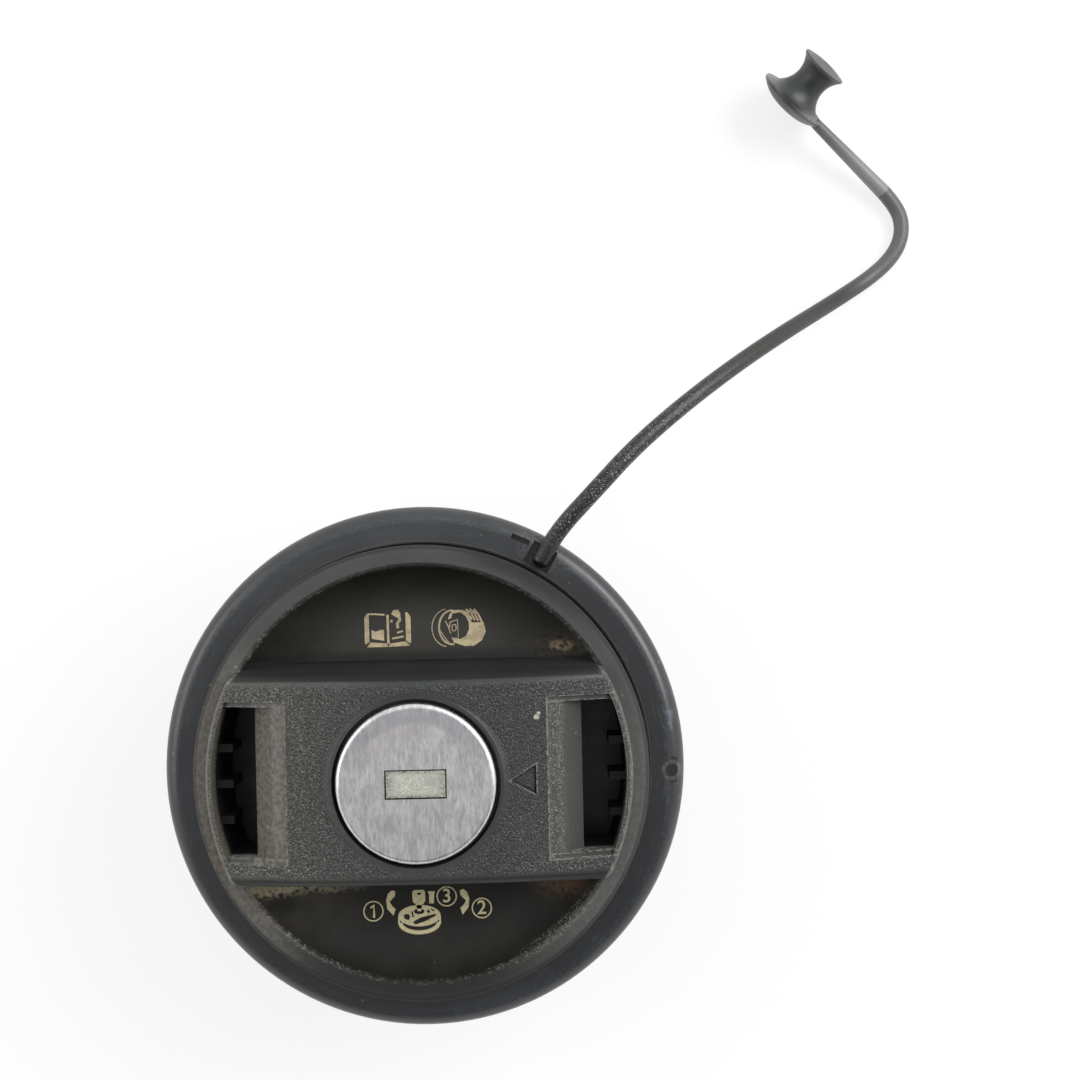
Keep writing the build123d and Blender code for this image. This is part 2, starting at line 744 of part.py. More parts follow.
with BuildPart() as barrel:
    with BuildSketch(Plane.XY.offset(barrel_body_bottom)):
        Circle(barrel_radius)
    extrude(amount=barrel_head_bottom - barrel_body_bottom)
    with BuildSketch(Plane.XY.offset(barrel_head_bottom)):
        Circle(barrel_head_radius)
    extrude(amount=barrel_head_height)
    with BuildSketch(Plane.XY.offset(barrel_bottom)):
        Circle(barrel_neck_radius)
    extrude(amount=barrel_body_bottom - barrel_bottom)
    with BuildSketch(Plane.XY.offset(pin_bottom)):
        with Locations((pin_x, pin_y)):
            Circle(pin_radius)
    extrude(amount=barrel_bottom - pin_bottom)
    # groove of the retaining clip
    clip_bottom = barrel_bottom + (floor_under - barrel_bottom - clip_thickness) / 2
    with BuildSketch(Plane.XY.offset(clip_bottom - press_fit)):
        Circle(barrel_neck_radius)
        Circle(barrel_neck_radius - clip_groove_depth, mode=Mode.SUBTRACT)
    extrude(amount=clip_thickness + 2 * press_fit, mode=Mode.SUBTRACT)
    # groove of the dust ring
    with BuildSketch(Plane.XY.offset(o_ring_z - o_ring_section - press_fit)):
        Circle(barrel_radius)
        Circle(o_ring_radius - o_ring_section - press_fit, mode=Mode.SUBTRACT)
    extrude(amount=2 * (o_ring_section + press_fit), mode=Mode.SUBTRACT)
    # key way, and the pocket that the shutter swings into
    with BuildSketch(Plane.XY.offset(key_way_bottom)):
        with Locations((0, key_offset)):
            Rectangle(key_width, key_thickness)
    extrude(amount=face_under - key_way_bottom, mode=Mode.SUBTRACT)
    pocket_front = shutter_axis_y + shutter_knuckle_radius + shutter_play
    pocket_rear = -shutter_width / 2 - shutter_pocket_play
    with BuildSketch(Plane.XY.offset(pocket_bottom)):
        with Locations((0, (pocket_front + pocket_rear) / 2)):
            Rectangle(shutter_length + 2 * shutter_play, pocket_front - pocket_rear)
    extrude(amount=shutter_pocket_depth, mode=Mode.SUBTRACT)
    with BuildSketch(Plane.YZ):
        with Locations((shutter_axis_y, shutter_axis_z)):
            Circle(shutter_pin_radius + press_fit)
    extrude(amount=shutter_pin_length / 2, both=True, mode=Mode.SUBTRACT)
    with BuildSketch(Plane.YZ.offset(shutter_length / 2)):
        with Locations((shutter_axis_y, shutter_axis_z)):
            Circle(shutter_spring_radius + shutter_wire + running_fit / 2)
    extrude(amount=shutter_spring_length + shutter_play, mode=Mode.SUBTRACT)
    # one slot, ear slot and spring pocket for each wafer
    for level in range(wafer_count):
        slot_bottom = wafer_bottom + level * wafer_pitch - wafer_play / 2
        with BuildSketch(Plane.XY.offset(slot_bottom)):
            Rectangle(2 * barrel_radius + wafer_play, 2 * wafer_half_width + wafer_play)
            with Locations(((wafer_ear_start + ear_end + wafer_travel) / 2,
                            (wafer_half_width + ear_outer + wafer_play) / 2)):
                Rectangle(wafer_ear_width + wafer_travel + 2 * wafer_play,
                          ear_outer - wafer_half_width + wafer_play)
        extrude(amount=wafer_thickness + wafer_play, mode=Mode.SUBTRACT)
        with BuildSketch(Plane.YZ.offset(pocket_back)):
            with Locations((spring_y, slot_bottom + (wafer_thickness + wafer_play) / 2)):
                Circle(wafer_spring_radius + wafer_spring_wire + wafer_play)
        extrude(amount=wafer_ear_start - pocket_back, mode=Mode.SUBTRACT)
barrel.part.label = "barrel"
export_step(barrel.part, "parts/barrel.step")

with BuildPart() as lock_face:
    with BuildSketch(Plane.XY.offset(face_under - lock_face_skirt)):
        Circle(lock_face_radius)
    extrude(amount=lock_face_skirt + lock_face_plate)
    fillet(lock_face.edges().group_by(Axis.Z)[-1], lock_face_edge)
    with BuildSketch(Plane.XY.offset(face_under - lock_face_skirt)):
        Circle(barrel_head_radius + press_fit)
    extrude(amount=lock_face_skirt, mode=Mode.SUBTRACT)
    with BuildSketch(Plane.XY.offset(face_under)):
        Rectangle(shutter_length + 2 * shutter_play, shutter_width + 2 * shutter_play)
    extrude(amount=lock_face_plate, mode=Mode.SUBTRACT)
lock_face.part.label = "lock_face"
export_step(lock_face.part, "parts/lock_face.step")

with BuildPart() as barrel_clip:
    with BuildSketch(Plane.XY.offset(clip_bottom)):
        Circle(clip_radius)
        Circle(barrel_neck_radius - clip_groove_depth + press_fit, mode=Mode.SUBTRACT)
        with Locations((-clip_radius, 0)):
            Rectangle(2 * clip_radius, clip_mouth, mode=Mode.SUBTRACT)
    extrude(amount=clip_thickness)
barrel_clip.part.label = "barrel_clip"
export_step(barrel_clip.part, "parts/barrel_clip.step")

with BuildPart() as dust_ring:
    with BuildSketch(Plane.XZ):
        with Locations((o_ring_radius, o_ring_z)):
            Circle(o_ring_section)
    revolve(axis=Axis.Z)
dust_ring.part.label = "dust_ring"
export_step(dust_ring.part, "parts/dust_ring.step")

# ================================================================ shutter
shutter_top = lock_face_top - shutter_sink
with BuildPart() as key_shutter:
    with BuildSketch(Plane.XY.offset(shutter_top - shutter_thickness)):
        Rectangle(shutter_length, shutter_width)
    extrude(amount=shutter_thickness)
    with BuildSketch(Plane.YZ):
        with Locations((shutter_axis_y, shutter_axis_z)):
            Circle(shutter_knuckle_radius)
        with Locations((shutter_axis_y, (shutter_axis_z + shutter_top - shutter_thickness) / 2)):
            Rectangle(shutter_knuckle_root,
                      shutter_top - shutter_thickness - shutter_axis_z)
        with Locations((shutter_axis_y, shutter_axis_z)):
            Circle(shutter_pin_radius + running_fit / 2, mode=Mode.SUBTRACT)
    extrude(amount=shutter_knuckle_length / 2, both=True)
key_shutter.part.label = "key_shutter"
export_step(key_shutter.part, "parts/key_shutter.step")

with BuildPart() as shutter_pin:
    with BuildSketch(Plane.YZ):
        with Locations((shutter_axis_y, shutter_axis_z)):
            Circle(shutter_pin_radius)
    extrude(amount=shutter_pin_length / 2, both=True)
shutter_pin.part.label = "shutter_pin"
export_step(shutter_pin.part, "parts/shutter_pin.step")

shutter_spring = coil_spring(shutter_wire, shutter_spring_radius, shutter_spring_length,
                             shutter_spring_coils)
shutter_spring = Pos(shutter_length / 2 + shutter_play / 2, shutter_axis_y, shutter_axis_z) * (
    Rot(0, 90, 0) * shutter_spring)
shutter_spring.label = "shutter_spring"
export_step(shutter_spring, "parts/shutter_spring.step")

# ================================================================ wafers
with BuildPart() as wafers:
    for level in range(wafer_count):
        with BuildSketch(Plane.XY.offset(wafer_bottom + level * wafer_pitch)):
            Circle(barrel_radius - wafer_play)
            Rectangle(2 * barrel_radius, 2 * wafer_half_width, mode=Mode.INTERSECT)
            with Locations(((wafer_ear_start + ear_end) / 2, (wafer_half_width + ear_outer) / 2)):
                Rectangle(wafer_ear_width, ear_outer - wafer_half_width)
            with Locations((0, key_offset)):
                Rectangle(key_width + 2 * wafer_key_play, key_thickness + 2 * wafer_play,
                          mode=Mode.SUBTRACT)
        extrude(amount=wafer_thickness)
wafers.part.label = "wafers"
export_step(wafers.part, "parts/wafers.step")

wafer_spring = Rot(0, 90, 0) * coil_spring(
    wafer_spring_wire, wafer_spring_radius, wafer_spring_length, wafer_spring_coils)
wafer_springs = Compound(children=[
    Pos(pocket_back + running_fit, spring_y,
        wafer_bottom + level * wafer_pitch + wafer_thickness / 2) * wafer_spring
    for level in range(wafer_count)
])
wafer_springs.label = "wafer_springs"
export_step(wafer_springs, "parts/wafer_springs.step")

# ================================================================ collar
collar_bore = cover_radius + loose_fit
snap_rib_radius = collar_bore - groove_depth
channel_inner = collar_bore + collar_inner_wall
channel_outer = collar_radius - collar_outer_wall
notch_outer = collar_radius - notch_rim
notch_inner = notch_outer - notch_length
notch_centre = (notch_inner + notch_outer) / 2
slot_radius = collar_radius - slot_inset
dent_radius = collar_radius - dent_inset

with BuildPart() as collar:
    with BuildSketch(Plane.XZ):
        with BuildLine():
            Polyline(
                (collar_radius, collar_top - collar_roll),
                (collar_radius, collar_bottom + collar_edge),
                (collar_radius - collar_edge, collar_bottom),
                (collar_bore, collar_bottom),
                (collar_bore, groove_bottom + loose_fit),
                (snap_rib_radius, groove_bottom + loose_fit),
                (snap_rib_radius, groove_bottom + groove_height - loose_fit),
                (collar_bore, groove_bottom + groove_height - loose_fit),
                (collar_bore, collar_top - collar_edge),
                (collar_bore + collar_edge, collar_top),
                (collar_radius - collar_roll, collar_top),
            )
            RadiusArc((collar_radius - collar_roll, collar_top),
                      (collar_radius, collar_top - collar_roll), collar_roll)
        make_face()
    revolve(axis=Axis.Z)
    # hollow underside, left solid under the tether's notch
    with BuildSketch(Plane.XY.offset(collar_bottom)):
        Circle(channel_outer)
        Circle(channel_inner, mode=Mode.SUBTRACT)
        with Locations(Location((0, 0), notch_angle)):
            with Locations((collar_radius / 2, 0)):
                Rectangle(collar_radius, notch_block, mode=Mode.SUBTRACT)
    extrude(amount=collar_top - collar_plate - collar_bottom, mode=Mode.SUBTRACT)
    # notch for the tether's end, with the side slot of its catch, cut past the top face
    with BuildSketch(Plane.XY.offset(collar_top - notch_depth)):
        with Locations(Location((0, 0), notch_angle)):
            with Locations((notch_centre, (notch_side_width - notch_half_width) / 2)):
                Rectangle(notch_outer - notch_inner, notch_side_width + notch_half_width)
        with Locations(Location((0, 0), slot_angle)):
            with Locations((slot_radius, 0)):
                Rectangle(slot_width, slot_length)
    extrude(amount=notch_depth + collar_edge, mode=Mode.SUBTRACT)
    with BuildSketch(Plane.XY.offset(collar_top - dent_depth)):
        with Locations(Location((0, 0), dent_angle)):
            with Locations((dent_radius, 0)):
                Rectangle(dent_width, dent_length)
    extrude(amount=dent_depth, mode=Mode.SUBTRACT)
collar.part.label = "collar"
export_step(collar.part, "parts/collar.step")

# ================================================================ tether
toe_inner = notch_inner + loose_fit
toe_outer = notch_outer - loose_fit
outward = Vector(cos(radians(notch_angle)), sin(radians(notch_angle)), 0)
toe_plane = Plane(origin=outward * toe_inner + Vector(0, 0, collar_top - notch_depth),
                  x_dir=(outward.Y, -outward.X, 0), z_dir=outward)
toe_height = notch_depth + cord_exit_lift
with BuildPart() as tether_end:
    # a lug with the cord's round back, rounded at its blind end
    with BuildSketch(toe_plane):
        with Locations((0, -toe_height / 2)):
            Rectangle(2 * cord_radius, toe_height)
        with Locations((0, -toe_height)):
            Circle(cord_radius)
    extrude(amount=toe_outer - toe_inner)
    blind_end = tether_end.edges().group_by(Axis((0, 0, 0), outward))[0]
    fillet(blind_end.filter_by(lambda e: e.center().Z > collar_top), toe_edge)
tether_end.part.label = "tether_end"
export_step(tether_end.part, "parts/tether_end.step")

cord_start = outward * toe_outer + Vector(0, 0, cord_exit_height)
cord_bend = cord_start + outward * cord_exit_run
cord_route = [
    (cord_start.X, cord_start.Y, cord_exit_height),
    (cord_bend.X, cord_bend.Y, cord_exit_height),
    (27.7, 42.8, 35.9),
    (34.0, 49.4, 34.6),
    (42.4, 56.4, 31.3),
    (51.4, 63.0, 26.0),
    (60.4, 69.0, 18.0),
    (69.0, 74.4, 8.8),
    (74.8, 78.1, 3.3),
    (79.2, 81.0, 1.5),
    (82.6, 83.9, 1.4),
    (84.6, 87.0, 1.4),
    (85.1, 90.4, 1.4),
    (84.0, 93.6, 1.5),
    (81.6, 96.0, 2.3),
]
cord_points = [Vector(*point) for point in cord_route]
cord_runs = [b - a for a, b in zip(cord_points, cord_points[1:])]
cord_radii = [
    cord_bend_share * min(before.length, after.length) / tan(radians(before.get_angle(after)) / 2)
    for before, after in zip(cord_runs, cord_runs[1:])
]
print("cord runs", [round(run.length, 1) for run in cord_runs])
print("cord turns", [round(a.get_angle(b), 1) for a, b in zip(cord_runs, cord_runs[1:])])
print("cord radii", [round(radius, 1) for radius in cord_radii])

with BuildPart() as tether_cord:
    with BuildLine():
        cord_path = FilletPolyline(*cord_points, radius=cord_radii)
    with BuildSketch(Plane(origin=cord_path @ 0, z_dir=cord_path % 0)):
        Circle(cord_radius)
    sweep(path=cord_path)
print("cord length", round(cord_path.length, 2), "volume", round(tether_cord.part.volume, 2),
      "section times length", round(pi * cord_radius ** 2 * cord_path.length, 2))
tether_cord.part.label = "tether_cord"
export_step(tether_cord.part, "parts/tether_cord.step")

tilt = radians(anchor_tilt)
heading = radians(anchor_heading)
anchor_axis = Vector(cos(tilt) * cos(heading), cos(tilt) * sin(heading), sin(tilt))
anchor_side = Vector(sin(heading), -cos(heading), 0)
anchor_rim_drop = anchor_flange_radius * cos(tilt)
anchor_crown_radius = (anchor_head_radius ** 2 + anchor_crown ** 2) / (2 * anchor_crown)
anchor_centre = Vector(anchor_x, anchor_y, anchor_rim_drop + anchor_back_clear)
tail_start = cord_path @ 1
tail_end = anchor_centre + anchor_side * (anchor_flange_radius - anchor_tail_radius)
with BuildPart() as tether_anchor:
    # dished flange, waisted stem and flared head, turned about its own axis
    with BuildSketch(Plane(origin=anchor_centre, x_dir=anchor_side,
                           z_dir=anchor_side.cross(anchor_axis))):
        with BuildLine():
            Line((0, -anchor_back), (0, anchor_length))
            RadiusArc((0, anchor_length), (anchor_head_radius, anchor_length - anchor_crown),
                      anchor_crown_radius)
            Line((anchor_head_radius, anchor_length - anchor_crown),
                 (anchor_head_radius, anchor_length - anchor_lip))
            ThreePointArc(
                (anchor_head_radius, anchor_length - anchor_lip),
                (anchor_waist_radius, anchor_length / 2),
                (anchor_shoulder_radius, anchor_lip),
            )
            Polyline(
                (anchor_shoulder_radius, anchor_lip),
                (anchor_flange_radius, anchor_lip / 2),
                (anchor_flange_radius, 0),
            )
            RadiusArc((anchor_flange_radius, 0), (anchor_back_flat, -anchor_back),
                      anchor_back_radius)
            Line((anchor_back_flat, -anchor_back), (0, -anchor_back))
        make_face()
    revolve(axis=Axis(anchor_centre, anchor_axis))
    # tapered tail that the cord runs into
    with BuildSketch(Plane(origin=tail_start, z_dir=cord_path % 1)):
        Circle(cord_radius)
    with BuildSketch(Plane(origin=tail_end, z_dir=tail_end - tail_start)):
        Circle(anchor_tail_radius)
    loft()
tether_anchor.part.label = "tether_anchor"
export_step(tether_anchor.part, "parts/tether_anchor.step")
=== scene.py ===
"""Looks of a locking fuel filler cap with its tether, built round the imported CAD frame.

Lengths in the classes are millimetres in the frame of the part: +Z up through the lock,
X along the grip bar. Meshes are made in metres.
"""

import logging
import math
from dataclasses import dataclass, field
from enum import Enum
from typing import Optional, Sequence, Union

import bpy
from mathutils import Matrix, Vector


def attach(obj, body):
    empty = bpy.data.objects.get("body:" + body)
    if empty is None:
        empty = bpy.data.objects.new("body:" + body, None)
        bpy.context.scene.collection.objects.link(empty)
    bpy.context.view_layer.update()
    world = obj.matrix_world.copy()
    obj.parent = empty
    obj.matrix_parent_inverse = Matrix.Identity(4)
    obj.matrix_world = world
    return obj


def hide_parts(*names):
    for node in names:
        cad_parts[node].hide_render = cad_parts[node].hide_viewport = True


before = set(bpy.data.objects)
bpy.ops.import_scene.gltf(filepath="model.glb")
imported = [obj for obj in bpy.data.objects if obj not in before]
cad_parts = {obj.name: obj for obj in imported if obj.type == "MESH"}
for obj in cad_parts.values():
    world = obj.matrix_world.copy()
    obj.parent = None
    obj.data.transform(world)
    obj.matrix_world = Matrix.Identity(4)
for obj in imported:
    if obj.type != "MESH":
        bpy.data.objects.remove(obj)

MM = 0.001
log = logging.getLogger("filler_cap")

Point2 = tuple[float, float]
Point3 = tuple[float, float, float]
Colour = tuple[float, float, float]


class Body(str, Enum):
    """Bodies of the frame that new pieces ride on."""

    GRIP = "grip"
    COLLAR = "collar"


# ---------------------------------------------------------------- shader graphs
class Level:
    """A number that varies over a surface, with Python's operators adding Math nodes."""

    def __init__(self, graph: "Graph", socket: bpy.types.NodeSocket) -> None:
        """Keep the graph and the socket that carries the number."""
        self.graph = graph
        self.socket = socket

    def _math(self, operation: str, *terms: "Term") -> "Level":
        """Add one Math node and return its result."""
        return self.graph.level("ShaderNodeMath", {"operation": operation}, dict(enumerate(terms)))

    def __add__(self, other: "Term") -> "Level":
        """Sum."""
        return self._math("ADD", self, other)

    def __radd__(self, other: "Term") -> "Level":
        """Sum, reflected."""
        return self._math("ADD", other, self)

    def __sub__(self, other: "Term") -> "Level":
        """Difference."""
        return self._math("SUBTRACT", self, other)

    def __rsub__(self, other: "Term") -> "Level":
        """Difference, reflected."""
        return self._math("SUBTRACT", other, self)

    def __mul__(self, other: "Term") -> "Level":
        """Product."""
        return self._math("MULTIPLY", self, other)

    def __rmul__(self, other: "Term") -> "Level":
        """Product, reflected."""
        return self._math("MULTIPLY", other, self)

    def __abs__(self) -> "Level":
        """Size without its sign."""
        return self._math("ABSOLUTE", self)

    def most(self, other: "Term") -> "Level":
        """The larger of two numbers."""
        return self._math("MAXIMUM", self, other)

    def least(self, other: "Term") -> "Level":
        """The smaller of two numbers."""
        return self._math("MINIMUM", self, other)

    def root(self) -> "Level":
        """Square root."""
        return self._math("SQRT", self)

    def turn_from(self, other: "Term") -> "Level":
        """Angle in radians, with this number as Y and the other as X."""
        return self._math("ARCTAN2", self, other)

    def rise(self, low: float, high: float) -> "Level":
        """A smooth step from 0 at low to 1 at high."""
        return self.graph.level(
            "ShaderNodeMapRange",
            {"interpolation_type": "SMOOTHSTEP", "clamp": True},
            {"Value": self, "From Min": low, "From Max": high},
            "Result",
        )

    def band(self, low: float, high: float, soft: float) -> "Level":
        """1 between low and high, falling to 0 within soft on both sides."""
        return self.rise(low - soft, low) * (1 - self.rise(high, high + soft))


Term = Union[Level, float]


class Graph:
    """A node tree that is built up by code."""

    def __init__(self, tree: bpy.types.NodeTree) -> None:
        """Start from an empty tree."""
        self.tree = tree
        self.tree.nodes.clear()

    def add(self, kind: str, settings: Optional[dict] = None,
            values: Optional[dict] = None) -> bpy.types.Node:
        """Add one node.

        Args:
            kind: the node's type.
            settings: properties to set first.
            values: numbers, colours, sockets or levels for its inputs, by name or index.

        Returns:
            The new node.
        """
        node = self.tree.nodes.new(kind)
        for key, value in (settings or {}).items():
            setattr(node, key, value)
        for key, value in (values or {}).items():
            socket = node.inputs[key]
            if isinstance(value, Level):
                value = value.socket
            if isinstance(value, bpy.types.NodeSocket):
                self.tree.links.new(value, socket)
            elif isinstance(value, tuple) and socket.type == "RGBA":
                socket.default_value = (*value[:3], 1.0)
            else:
                socket.default_value = value
        return node

    def level(self, kind: str, settings: Optional[dict] = None, values: Optional[dict] = None,
              output: Union[str, int] = 0) -> Level:
        """Add one node and return one of its outputs as a number."""
        return Level(self, self.add(kind, settings, values).outputs[output])

    def axes(self, spot: bpy.types.NodeSocket) -> tuple[Level, Level, Level]:
        """The X, Y and Z of a point or direction."""
        node = self.add("ShaderNodeSeparateXYZ", values={0: spot})
        return tuple(Level(self, node.outputs[i]) for i in range(3))


class Surface(Graph):
    """The node tree of one material."""

    def __init__(self, name: str) -> None:
        """Start a material that holds a Principled shader and its output."""
        self.material = bpy.data.materials.new(name)
        self.material.use_nodes = True
        super().__init__(self.material.node_tree)
        self.shader = self.add("ShaderNodeBsdfPrincipled")
        self.output = self.add("ShaderNodeOutputMaterial",
                               values={"Surface": self.shader.outputs["BSDF"]})
        self._place: Optional[bpy.types.NodeSocket] = None

    def place(self) -> bpy.types.NodeSocket:
        """The point on the piece, in millimetres."""
        if self._place is None:
            spot = self.add("ShaderNodeTexCoord").outputs["Object"]
            self._place = self.add("ShaderNodeVectorMath", {"operation": "SCALE"},
                                   {0: spot, "Scale": 1 / MM}).outputs[0]
        return self._place

    def point(self, x: Term, y: Term, z: Term) -> bpy.types.NodeSocket:
        """A point made of three numbers."""
        return self.add("ShaderNodeCombineXYZ", values={0: x, 1: y, 2: z}).outputs[0]

    def stretched(self, sizes: Point3, turn: float = 0.0) -> bpy.types.NodeSocket:
        """The point scaled along each axis, after a turn about Z in degrees."""
        return self.add("ShaderNodeMapping", {"vector_type": "POINT"},
                        {"Vector": self.place(), "Rotation": (0.0, 0.0, math.radians(turn)),
                         "Scale": sizes}).outputs[0]

    def noise(self, scale: float, detail: float = 2.0, spot: Optional[bpy.types.NodeSocket] = None,
              roughness: float = 0.5) -> Level:
        """Cloudy noise from 0 to 1 about 0.5, with its scale per millimetre."""
        return self.level("ShaderNodeTexNoise", values={
            "Vector": spot or self.place(), "Scale": scale, "Detail": detail, "Roughness": roughness})

    def cells(self, scale: float) -> Level:
        """Distance from the nearest centre in a pattern of cells."""
        return self.level("ShaderNodeTexVoronoi", {"feature": "F1"},
                          {"Vector": self.place(), "Scale": scale}, "Distance")

    def mix(self, share: Term, first: Union[Colour, bpy.types.NodeSocket],
            second: Union[Colour, bpy.types.NodeSocket]) -> bpy.types.NodeSocket:
        """One colour going over to another as the share goes from 0 to 1."""
        return self.add("ShaderNodeMix", {"data_type": "RGBA"},
                        {0: share, 6: first, 7: second}).outputs[2]

    def finish(self, colour: Union[Colour, bpy.types.NodeSocket], roughness: Term,
               relief: Optional[Level] = None, height: float = 0.05, metallic: float = 0.0,
               specular: float = 0.5) -> bpy.types.Material:
        """Connect the shader.

        Args:
            colour: base colour.
            roughness: roughness.
            relief: height pattern of the surface, from 0 to 1.
            height: depth of that pattern in millimetres.
            metallic: share of metal.
            specular: level of the surface's reflection.

        Returns:
            The finished material.
        """
        inputs = {"Base Color": colour, "Roughness": roughness, "Metallic": metallic,
                  "Specular IOR Level": specular}
        if relief is not None:
            inputs["Normal"] = self.add("ShaderNodeBump", values={
                "Strength": 1.0, "Distance": height * MM, "Height": relief}).outputs[0]
        for key, value in inputs.items():
            socket = self.shader.inputs[key]
            if isinstance(value, Level):
                value = value.socket
            if isinstance(value, bpy.types.NodeSocket):
                self.tree.links.new(value, socket)
            else:
                socket.default_value = (*value, 1.0) if isinstance(value, tuple) else value
        return self.material


# ---------------------------------------------------------------- finishes
@dataclass(frozen=True)
class MouldedPlastic:
    """Plain moulded plastic or rubber of a piece that is mostly hidden."""

    name: str
    colour: Colour
    roughness: float = 0.5
    spread: float = 0.25
    grain: float = 1.2
    relief: float = 0.02

    def make(self) -> bpy.types.Material:
        """Make the material: cloudy tone, fine relief and a varied gloss."""
        g = Surface(self.name)
        cloud = g.noise(0.25, 3.0)
        fine = g.noise(self.grain, 2.0)
        darker = tuple(c * (1 - self.spread) for c in self.colour)
        lighter = tuple(min(1.0, c * (1 + self.spread)) for c in self.colour)
        colour = g.mix(cloud.rise(0.3, 0.7), darker, lighter)
        return g.finish(colour, self.roughness + (fine - 0.5) * 0.2, fine, self.relief)


@dataclass(frozen=True)
class DrawnMetal:
    """Plain machined, cast or drawn metal of a hidden piece."""

    name: str
    colour: Colour
    roughness: float = 0.35
    streak: Point3 = (1.0, 1.0, 6.0)
    relief: float = 0.01

    def make(self) -> bpy.types.Material:
        """Make the material: tool streaks and a patchy gloss."""
        g = Surface(self.name)
        lines = g.noise(0.8, 3.0, g.stretched(self.streak))
        patch = g.noise(0.5, 2.0)
        darker = tuple(c * 0.75 for c in self.colour)
        colour = g.mix(patch.rise(0.35, 0.65), darker, self.colour)
        return g.finish(colour, self.roughness + (lines - 0.5) * 0.3, lines, self.relief, metallic=1.0)


@dataclass(frozen=True)
class CoverSizes:
    """Sizes of the cover that its finish follows."""

    well_start: float = 19.4
    ramp_end: float = 24.6
    well_half: float = 11.3
    rebate_half: float = 12.1
    shaft_radius: float = 31.3
    rim_inner: float = 32.3
    bar_foot: float = 17.4
    pointer_tip: float = 14.1
    pointer_base: float = 17.6
    pointer_half: float = 2.1


class CoverMap:
    """Where a point of the cover lies, and the patterns that its finish shares."""

    def __init__(self, g: Surface) -> None:
        """Work out the zones from the cover's own sizes."""
        self.size = size = CoverSizes()
        self.x, self.y, self.z = x, y, z = g.axes(g.place())
        self.r = r = (x * x + y * y).root()
        self.cloud = g.noise(0.16, 4.0)
        self.spots = g.noise(1.4, 4.0, roughness=0.65)
        self.pebbles = (1 - g.cells(2.7).rise(0.10, 0.62)) * 0.5 + g.noise(3.4, 1.5).rise(0.36, 0.66) * 0.5
        self.fine = g.noise(5.0, 2.0)
        self.glints = g.noise(4.2, 2.0, roughness=0.7)
        self.left = 1 - x.rise(-26.0, 2.0)
        self.above = z.rise(40.5, 42.0) * (1 - r.rise(size.rim_inner - 0.3, size.rim_inner))
        self.bar = self.above * (1 - abs(y).rise(15.3, 15.9))
        well = abs(x).rise(size.well_start - 0.05, size.well_start + 0.1)
        well = well * (1 - abs(y).rise(size.rebate_half - 0.1, size.rebate_half + 0.05))
        self.well = well * (1 - r.rise(size.shaft_radius - 0.1, size.shaft_radius + 0.1))
        edge = abs(y) - y.rise(0.0, 1.0) * 0.7
        self.flat = self.bar * (1 - edge.rise(13.3, 14.2)) * r.rise(12.7, 14.2) * (1 - self.well)
        self.side = abs(y).band(15.2, 17.2, 0.3) * z.rise(35.2, 36.2) * (1 - r.rise(31.0, 32.0))
        self.rim = r.rise(31.5, 32.2) * z.rise(38.0, 39.2)

    def blot(self, x: float, y: float, wide: float, high: float, soft: float = 0.8) -> Level:
        """An oval patch of some width and height round a point."""
        across = (self.x - x) * (2 / wide)
        along = (self.y - y) * (2 / high)
        return 1 - (across * across + along * along).root().rise(1 - soft, 1 + soft)


